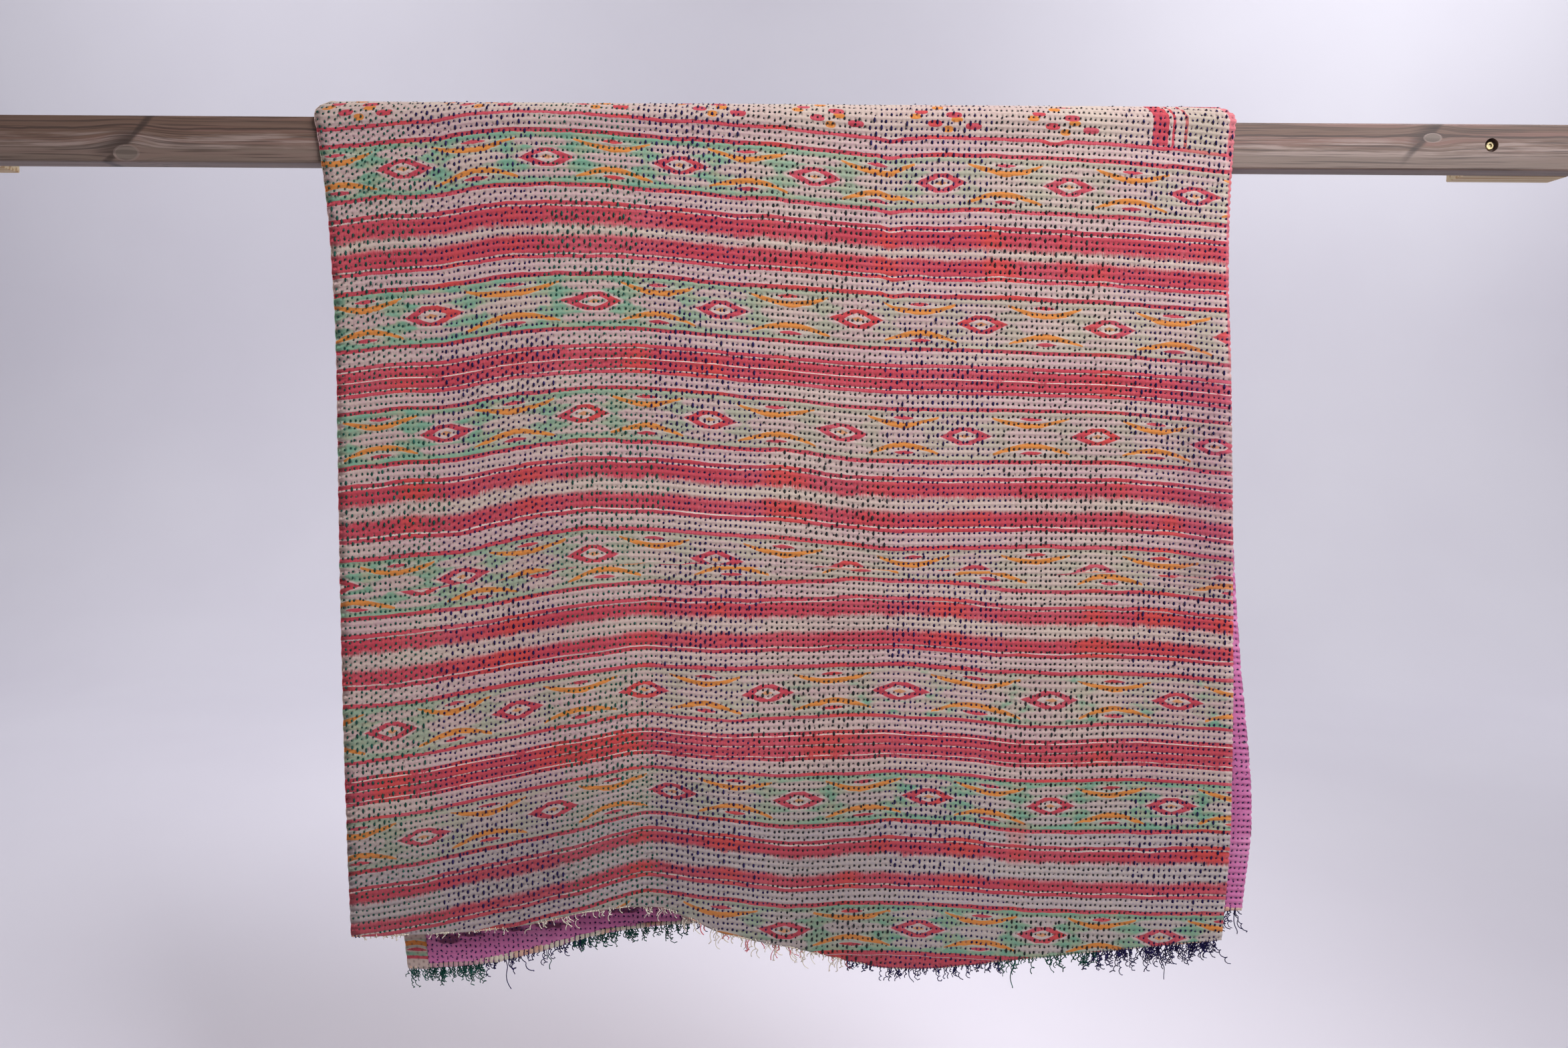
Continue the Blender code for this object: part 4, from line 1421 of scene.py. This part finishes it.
FRAYS = (
    Fray(Side.FRONT, 0.01, 0.05, 14, 3, 9, 1.4, Thread.CREAM),
    Fray(Side.FRONT, 0.05, 0.20, 22, 3, 12, 1.2, Thread.CREAM),
    Fray(Side.FRONT, 0.20, 0.35, 40, 4, 20, 1.2, Thread.CREAM),
    Fray(Side.FRONT, 0.35, 0.57, 80, 5, 26, 1.0, Thread.CREAM),
    Fray(Side.FRONT, 0.40, 0.57, 16, 8, 24, 1.0, Thread.CORAL),
    Fray(Side.FRONT, 0.57, 0.75, 85, 6, 20, 2.2, Thread.NAVY),
    Fray(Side.FRONT, 0.74, 0.86, 60, 6, 26, 2.0, Thread.GREEN),
    Fray(Side.FRONT, 0.85, 0.995, 150, 10, 36, 2.4, Thread.NAVY),
    Fray(Side.BACK, 0.00, 0.09, 90, 10, 34, 2.6, Thread.GREEN),
    Fray(Side.BACK, 0.09, 0.22, 55, 6, 26, 2.0, Thread.NAVY),
    Fray(Side.BACK, 0.20, 0.34, 120, 8, 26, 2.4, Thread.GREEN),
    Fray(Side.BACK, 0.34, 0.93, 110, 5, 16, 2.0, Thread.NAVY),
    Fray(Side.BACK, 0.93, 0.998, 55, 8, 34, 2.2, Thread.NAVY),
)


class Tail(NamedTuple):
    """A long loose thread: its hem, where it starts across, its drop and sway in mm, which thread."""

    side: Side
    across: float
    drop: float
    sway: float
    thread: Thread


TAILS = (
    Tail(Side.BACK, 0.118, 46, 6, Thread.NAVY), Tail(Side.BACK, 0.131, 24, -6, Thread.NAVY),
    Tail(Side.BACK, 0.167, 28, 7, Thread.GREEN), Tail(Side.FRONT, 0.518, 30, 5, Thread.CREAM),
    Tail(Side.FRONT, 0.765, 44, -4, Thread.GREEN), Tail(Side.FRONT, 0.846, 24, 6, Thread.GREEN),
    Tail(Side.FRONT, 0.930, 50, 10, Thread.NAVY), Tail(Side.FRONT, 0.640, 24, 8, Thread.NAVY),
    Tail(Side.BACK, 0.992, 40, 8, Thread.NAVY),
)


@dataclass
class HemFrays:
    """The frayed and whipped hems: rolled edges, whip stitches over them and loose threads below."""

    quilting: Quilting
    steps_to_a_bump: int = 5
    front_roll: tuple[float, float] = (0.0013, 0.0022)      # half a rolled edge's height and thickness
    back_roll: tuple[float, float] = (0.0064, 0.0033)
    front_gap: float = 0.0052       # from one whip stitch to the next
    back_gap: float = 0.0077
    front_whip: float = 0.0028      # how far up a whip stitch reaches
    back_whip: float = 0.0105
    whip_clear: float = 0.0009      # how far a whip stitch stands off the cloth, and
    whip_under: float = 0.0021      # how far it passes under the hem
    lost_cream: float = 0.7         # the share of cream whip stitches that are lost in the cloth
    widest_loop: float = 0.0035     # of a loose thread's curls
    tail_curl: float = 0.8
    whip_seeds: tuple[int, int] = (11, 12)          # of the front and of the back
    fray_seed: int = 21

    def hem_down(self, side: Side, across: Array) -> Array:
        """Finds how far down the cloth a hem lies."""
        drape = self.quilting.drape
        if side is Side.FRONT:
            return drape.column("front_fall", across)
        return -drape.arch_length - drape.column("back_fall", across)

    def roll(self, side: Side, material: bpy.types.Material) -> bpy.types.Object:
        """Builds a hem's thin, lumpy rolled edge.

        Args:
            side: which hem.
            material: its finish.

        Returns:
            The new piece.
        """
        quilting, drape = self.quilting, self.quilting.drape
        gap = self.front_gap if side is Side.FRONT else self.back_gap
        tall, thick = self.front_roll if side is Side.FRONT else self.back_roll
        plump = 0.68 if side is Side.BACK else 1.0      # away from the corner, where the back hem is fullest
        bm = bmesh.new()
        bmesh.ops.create_cone(bm, cap_ends=True, segments=8, radius1=1.0, radius2=1.0, depth=1.0)
        runs = [edge for edge in bm.edges if abs(edge.verts[0].co.z - edge.verts[1].co.z) > 0.5]
        bmesh.ops.subdivide_edges(bm, edges=runs, cuts=round(drape.width / gap) * self.steps_to_a_bump)
        bmesh.ops.recalc_face_normals(bm, faces=bm.faces)
        mesh = mesh_of(bm)
        x, y, z = corners(mesh).T
        across = (z + 0.5) * drape.width
        swollen = np.abs(np.sin(math.pi * across / gap)) ** 0.7     # pinched where a stitch goes round it
        uneven = 1 + 0.15 * np.sin(across * 143 + 1) * np.sin(across * 57)
        x = np.sign(x) * np.abs(x) ** 0.5 * (0.62 + 0.38 * swollen) * uneven
        y = y * (0.84 + 0.16 * swollen) * uneven
        tall = tall * (plump + (1 - plump) * np.exp(-((across / drape.width - 0.13) / 0.06) ** 2))
        middle = (quilting.face_outer + quilting.backing_inner) / 2
        way = 1 if side is Side.FRONT else -1
        down = self.hem_down(side, across) + way * (y * tall + 0.0009 - tall * 0.85)
        move_corners(mesh, drape.place(across, down, middle + x * thick))
        if way < 0:
            mesh.flip_normals()
        return new_object(f"hem_roll_{side.value}", mesh, material)

    def whip(self, side: Side, yarns: dict[Thread, Yarns]) -> None:
        """Lays whip stitches over a hem, slanting and uneven.

        Args:
            side: which hem.
            yarns: the gathered threads by kind, which grow.
        """
        quilting, drape = self.quilting, self.quilting.drape
        is_front = side is Side.FRONT
        rng = np.random.default_rng(self.whip_seeds[0] if is_front else self.whip_seeds[1])
        way = 1 if is_front else -1
        frays = [fray for fray in FRAYS if fray.side is side]
        gap, reach = (self.front_gap, self.front_whip) if is_front else (self.back_gap, self.back_whip)
        for at in np.arange(gap, drape.width - 0.004, gap):
            at = at + rng.normal(0, 0.0005)
            kind = next((f.thread for f in frays if f.start <= at / drape.width <= f.end), Thread.NAVY)
            if kind is Thread.CREAM and rng.random() < self.lost_cream:
                continue
            tall = reach * rng.uniform(0.7, 1.1)
            lean = rng.uniform(0.0003, 0.0014)
            front, back = quilting.face_outer + self.whip_clear, quilting.backing_inner - self.whip_clear
            turn = np.linspace(0, math.pi, 6)
            across = at + np.concatenate([[-lean], np.full(6, 0.0), [lean]])
            rise = np.concatenate([[-tall], self.whip_under * np.sin(turn), [-tall * 0.8]])
            depth = np.concatenate([[front - 0.0006], (front + back) / 2 + (front - back) / 2 * np.cos(turn),
                                    [back + 0.0006]])
            down = self.hem_down(side, across) + way * rise
            yarns[kind].lines.append(drape.place(across, down, depth))

    def strand(self, side: Side, at: float, drop: float, sway: float, curl: float,
               rng: np.random.Generator) -> Array:
        """Shapes one loose thread below a hem.

        Args:
            side: which hem.
            at: where it starts across.
            drop: how far it reaches down.
            sway: how far its end swings aside.
            curl: how many small curls it has.
            rng: the source of its unevenness.

        Returns:
            Its points.
        """
        quilting, drape = self.quilting, self.quilting.drape
        t = np.linspace(0, 1, max(7, int(6 + drop * 500)))
        phase, turns = rng.uniform(0, math.tau), curl * rng.uniform(0.6, 1.3) * (0.6 + drop * 30)
        loop = min(self.widest_loop, drop * 0.22) * rng.uniform(0.5, 1.2)
        swing = np.sin(turns * math.tau * t + phase) - math.sin(phase)
        bob = np.cos(turns * math.tau * t + phase) - math.cos(phase)
        across = at + sway * t ** 1.3 + loop * t ** 0.5 * swing
        fall = drop * t + loop * 0.8 * t ** 0.5 * bob
        middle = (quilting.face_outer + quilting.backing_inner) / 2
        depth = middle + rng.normal(0, 0.0012) + 0.0022 * np.sin(turns * 4 * t + phase * 2) * t
        way = 1 if side is Side.FRONT else -1
        start = self.hem_down(side, np.full_like(t, at))
        return drape.place(across, start + way * fall, depth)

    def fray(self, yarns: dict[Thread, Yarns]) -> None:
        """Hangs the frayed threads and the long tails.

        Args:
            yarns: the gathered threads by kind, which grow.
        """
        rng = np.random.default_rng(self.fray_seed)
        width = self.quilting.drape.width
        for fray in FRAYS:
            for _ in range(fray.threads):
                at = rng.uniform(fray.start, fray.end) * width
                drop = (fray.shortest + (fray.longest - fray.shortest) * rng.random() ** 2.2) * MM
                sway = rng.normal(0, 0.35) * drop
                yarns[fray.thread].lines.append(self.strand(fray.side, at, drop, sway, fray.curl, rng))
        for tail in TAILS:
            line = self.strand(
                tail.side, tail.across * width, tail.drop * MM, tail.sway * MM, self.tail_curl, rng)
            yarns[tail.thread].lines.append(line)


# ---------------------------------------------------------------- the whole quilt
@dataclass
class KanthaQuilt:
    """The dressed quilt: face, reverse, side hem, stitches and hems."""

    quilting: Quilting = field(default_factory=Quilting)
    cut_length: float = 2.44
    front_rows: tuple[int, int] = (0, 137)          # rows of stitches, counted down from the rail
    back_rows: tuple[int, int] = (-145, 0)
    foot_rows: tuple[int, int] = (-145, -117)       # on the reverse: the back half's foot, and
    margin_rows: tuple[int, int] = (-117, -9)       # its right margin
    margin_start: float = 1.1

    def build(self) -> None:
        """Builds every piece of the quilt, and hides the imported solids of the quilt and its fringes."""
        quilting = self.quilting
        sari, pink = SariCotton().material(), PinkCotton().material()
        face = ClothLayer(quilting, columns=84, rows_to_a_rib=3, shown_side=1).build(
            "quilt_face_cloth", quilting.face_outer, quilting.face_inner, sari)
        backing = ClothLayer(quilting, columns=54, rows_to_a_rib=2, shown_side=0).build(
            "quilt_backing_cloth", quilting.backing_outer, quilting.backing_inner, pink)
        side_hem = SideHem(quilting).build(sari)
        on_face, on_backing = [side_hem, *self.sew()], self.sew_reverse()
        rolls, loose = self.finish_hems()
        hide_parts("quilt_face")
        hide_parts("quilt_backing")
        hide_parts("fringe_front", "fringe_back")

    def sew(self) -> list[bpy.types.Object]:
        """Sews the face side, a piece for each thread on each half."""
        stitches = Stitches(self.quilting)
        return [stitches.build(f"stitches_{half}_{thread.label}", *rows, thread)
                for half, rows in (("front", self.front_rows), ("back", self.back_rows))
                for thread in (Thread.NAVY, Thread.GREEN, Thread.DARK)]

    def sew_reverse(self) -> list[bpy.types.Object]:
        """Sews the pink side where it shows: the back half's foot and its right margin."""
        stitches = Stitches(self.quilting)
        return [stitches.build("stitches_reverse_foot", *self.foot_rows, Thread.NAVY, reverse=True),
                stitches.build("stitches_reverse_side", *self.margin_rows, Thread.NAVY, reverse=True,
                               start_across=self.margin_start)]

    def finish_hems(self) -> tuple[list[bpy.types.Object], list[bpy.types.Object]]:
        """Rolls, whips and frays both hems.

        Returns:
            The rolled edges, and the loose threads.
        """
        hems, yarns = HemFrays(self.quilting), {thread: Yarns() for thread in Thread}
        rolls = [hems.roll(side, RawHem().material()) for side in Side]
        for side in Side:
            hems.whip(side, yarns)
        hems.fray(yarns)
        loose = [yarn.build(f"hem_threads_{thread.label}", thread.material())
                 for thread, yarn in yarns.items() if yarn.lines]
        return rolls, loose


# ---------------------------------------------------------------- rail and studio
@dataclass(frozen=True)
class WallRail:
    """The rail, its spacer blocks and screws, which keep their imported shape."""

    sides: tuple[str, str] = ("left", "right")

    def dress(self) -> None:
        """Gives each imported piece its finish."""
        timber, sawn, plated = StainedPine().material(), RawPine().material(), PlatedSteel().material()
        finishes = {"rail": timber}
        for side in self.sides:
            finishes[f"spacer_block_{side}"] = sawn
            finishes[f"rail_screw_{side}"] = plated
        for node, material in finishes.items():
            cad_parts[node].material_slots[0].material = material
            LOG.info("%s dressed with %s", node, material.name)


class Lamp(NamedTuple):
    """A square area lamp: its middle, what it faces, its side, how wide it spreads, watts and tint."""

    name: str
    place: tuple[float, float, float]
    target: tuple[float, float, float]
    size: float
    spread: float                   # degrees
    power: float
    tint: str


LAMPS = (
    Lamp("key", (2.0, -1.9, 1.9), (0.45, 0.0, 0.20), 2.2, 62, 33.5, "#FAFAFF"),
    Lamp("fill", (-2.6, -3.2, 0.6), (-0.3, 0.0, 0.2), 2.5, 36, 1.6, "#FFF4EC"),
    Lamp("wash_right", (3.8, 2.6, 3.6), (3.4, 6.0, 0.2), 2.5, 180, 155.0, "#F8FAFA"),
    Lamp("wash_left", (-3.4, 2.6, 3.6), (-2.8, 6.0, 0.4), 2.5, 180, 100.0, "#F8FAFA"),
    Lamp("rear", (0.5, 3.6, 2.8), (0.0, 0.0, -0.4), 3.5, 90, 18.0, "#FFF8F2"),
    Lamp("side_right", (3.2, 0.9, 0.4), (0.6, 0.0, -0.5), 1.5, 50, 5.0, "#FFF8F2"),
    Lamp("side_left", (-3.2, 0.9, 0.4), (-0.6, 0.0, -0.5), 1.5, 50, 5.0, "#FFF8F2"),
)


@dataclass(frozen=True)
class Studio:
    """A pale floor that sweeps up to a far backdrop, soft light and the camera."""

    floor_height: float = -1.75
    half_width: float = 9.0
    near: float = -9.0
    far: float = 6.0
    sweep_radius: float = 2.0
    backdrop_height: float = 6.0
    sky: str = "#EDEAF4"
    sky_strength: float = 0.21
    camera_place: tuple[float, float, float] = (0.0125, -1.783, -0.3785)
    camera_dip: float = 5.06        # degrees below level
    camera_roll: float = 0.37       # degrees
    camera_focal: float = 27.575    # mm
    camera_sensor: float = 36.0     # mm wide

    def build(self) -> None:
        """Builds the floor, the lights, the world and the camera."""
        self.floor()
        self.lights()
        self.camera()

    def floor(self) -> None:
        """Builds the floor and backdrop as one bent sheet, which isn't part of the object."""
        bm = bmesh.new()
        bmesh.ops.create_grid(bm, x_segments=4, y_segments=60, size=0.5)
        bend = math.pi / 2 * self.sweep_radius
        flat = self.far - self.sweep_radius - self.near
        length = flat + bend + self.backdrop_height
        for vert in bm.verts:
            along = (vert.co.y + 0.5) * length
            angle = min(max(along - flat, 0.0), bend) / self.sweep_radius
            rise = max(along - flat - bend, 0.0)
            vert.co = Vector((
                vert.co.x * 2 * self.half_width,
                self.near + min(along, flat) + math.sin(angle) * self.sweep_radius,
                self.floor_height + (1 - math.cos(angle)) * self.sweep_radius + rise))
        mesh = mesh_of(bm)
        mesh.materials.append(StudioPaint().material())
        mesh.shade_smooth()
        floor = bpy.data.objects.new("studio_floor", mesh)
        bpy.context.scene.collection.objects.link(floor)

    def lights(self) -> None:
        """Hangs a soft key lamp up on the right, weak lamps round the object, and a pale world."""
        for lamp in LAMPS:
            data = bpy.data.lights.new(lamp.name, "AREA")
            data.size, data.energy, data.spread = lamp.size, lamp.power, math.radians(lamp.spread)
            data.color = linear(lamp.tint)[:3]
            hung = bpy.data.objects.new(lamp.name, data)
            hung.location = lamp.place
            way = Vector(lamp.target) - Vector(lamp.place)
            hung.rotation_euler = way.to_track_quat("-Z", "Y").to_euler()
            bpy.context.scene.collection.objects.link(hung)
        world = bpy.data.worlds.new("studio")
        world.use_nodes = True
        background = world.node_tree.nodes["Background"]
        background.inputs["Color"].default_value = linear(self.sky)
        background.inputs["Strength"].default_value = self.sky_strength
        bpy.context.scene.world = world
        bpy.context.scene.view_settings.view_transform = "Standard"

    def camera(self) -> None:
        """Sets the camera up level with the quilt's middle, dipped and rolled a little."""
        dip, roll = math.radians(self.camera_dip), math.radians(self.camera_roll)
        ahead = Vector((0, math.cos(dip), -math.sin(dip)))
        up, right = Vector((0, math.sin(dip), math.cos(dip))), Vector((1, 0, 0))
        turned_right = right * math.cos(roll) + up * math.sin(roll)
        turned_up = up * math.cos(roll) - right * math.sin(roll)
        data = bpy.data.cameras.new("camera")
        data.sensor_width, data.lens = self.camera_sensor, self.camera_focal
        data.clip_start, data.clip_end = 0.05, 60.0
        camera = bpy.data.objects.new("camera", data)
        turn = Matrix((turned_right, turned_up, -ahead)).transposed()
        camera.matrix_world = Matrix.Translation(self.camera_place) @ turn.to_4x4()
        bpy.context.scene.collection.objects.link(camera)
        bpy.context.scene.camera = camera


def main() -> None:
    """Builds the quilt, dresses the rail and sets up the studio."""
    logging.basicConfig(level=logging.INFO, format="%(name)s: %(message)s")
    KanthaQuilt().build()
    WallRail().dress()
    Studio().build()


if __name__ == "__main__":
    main()
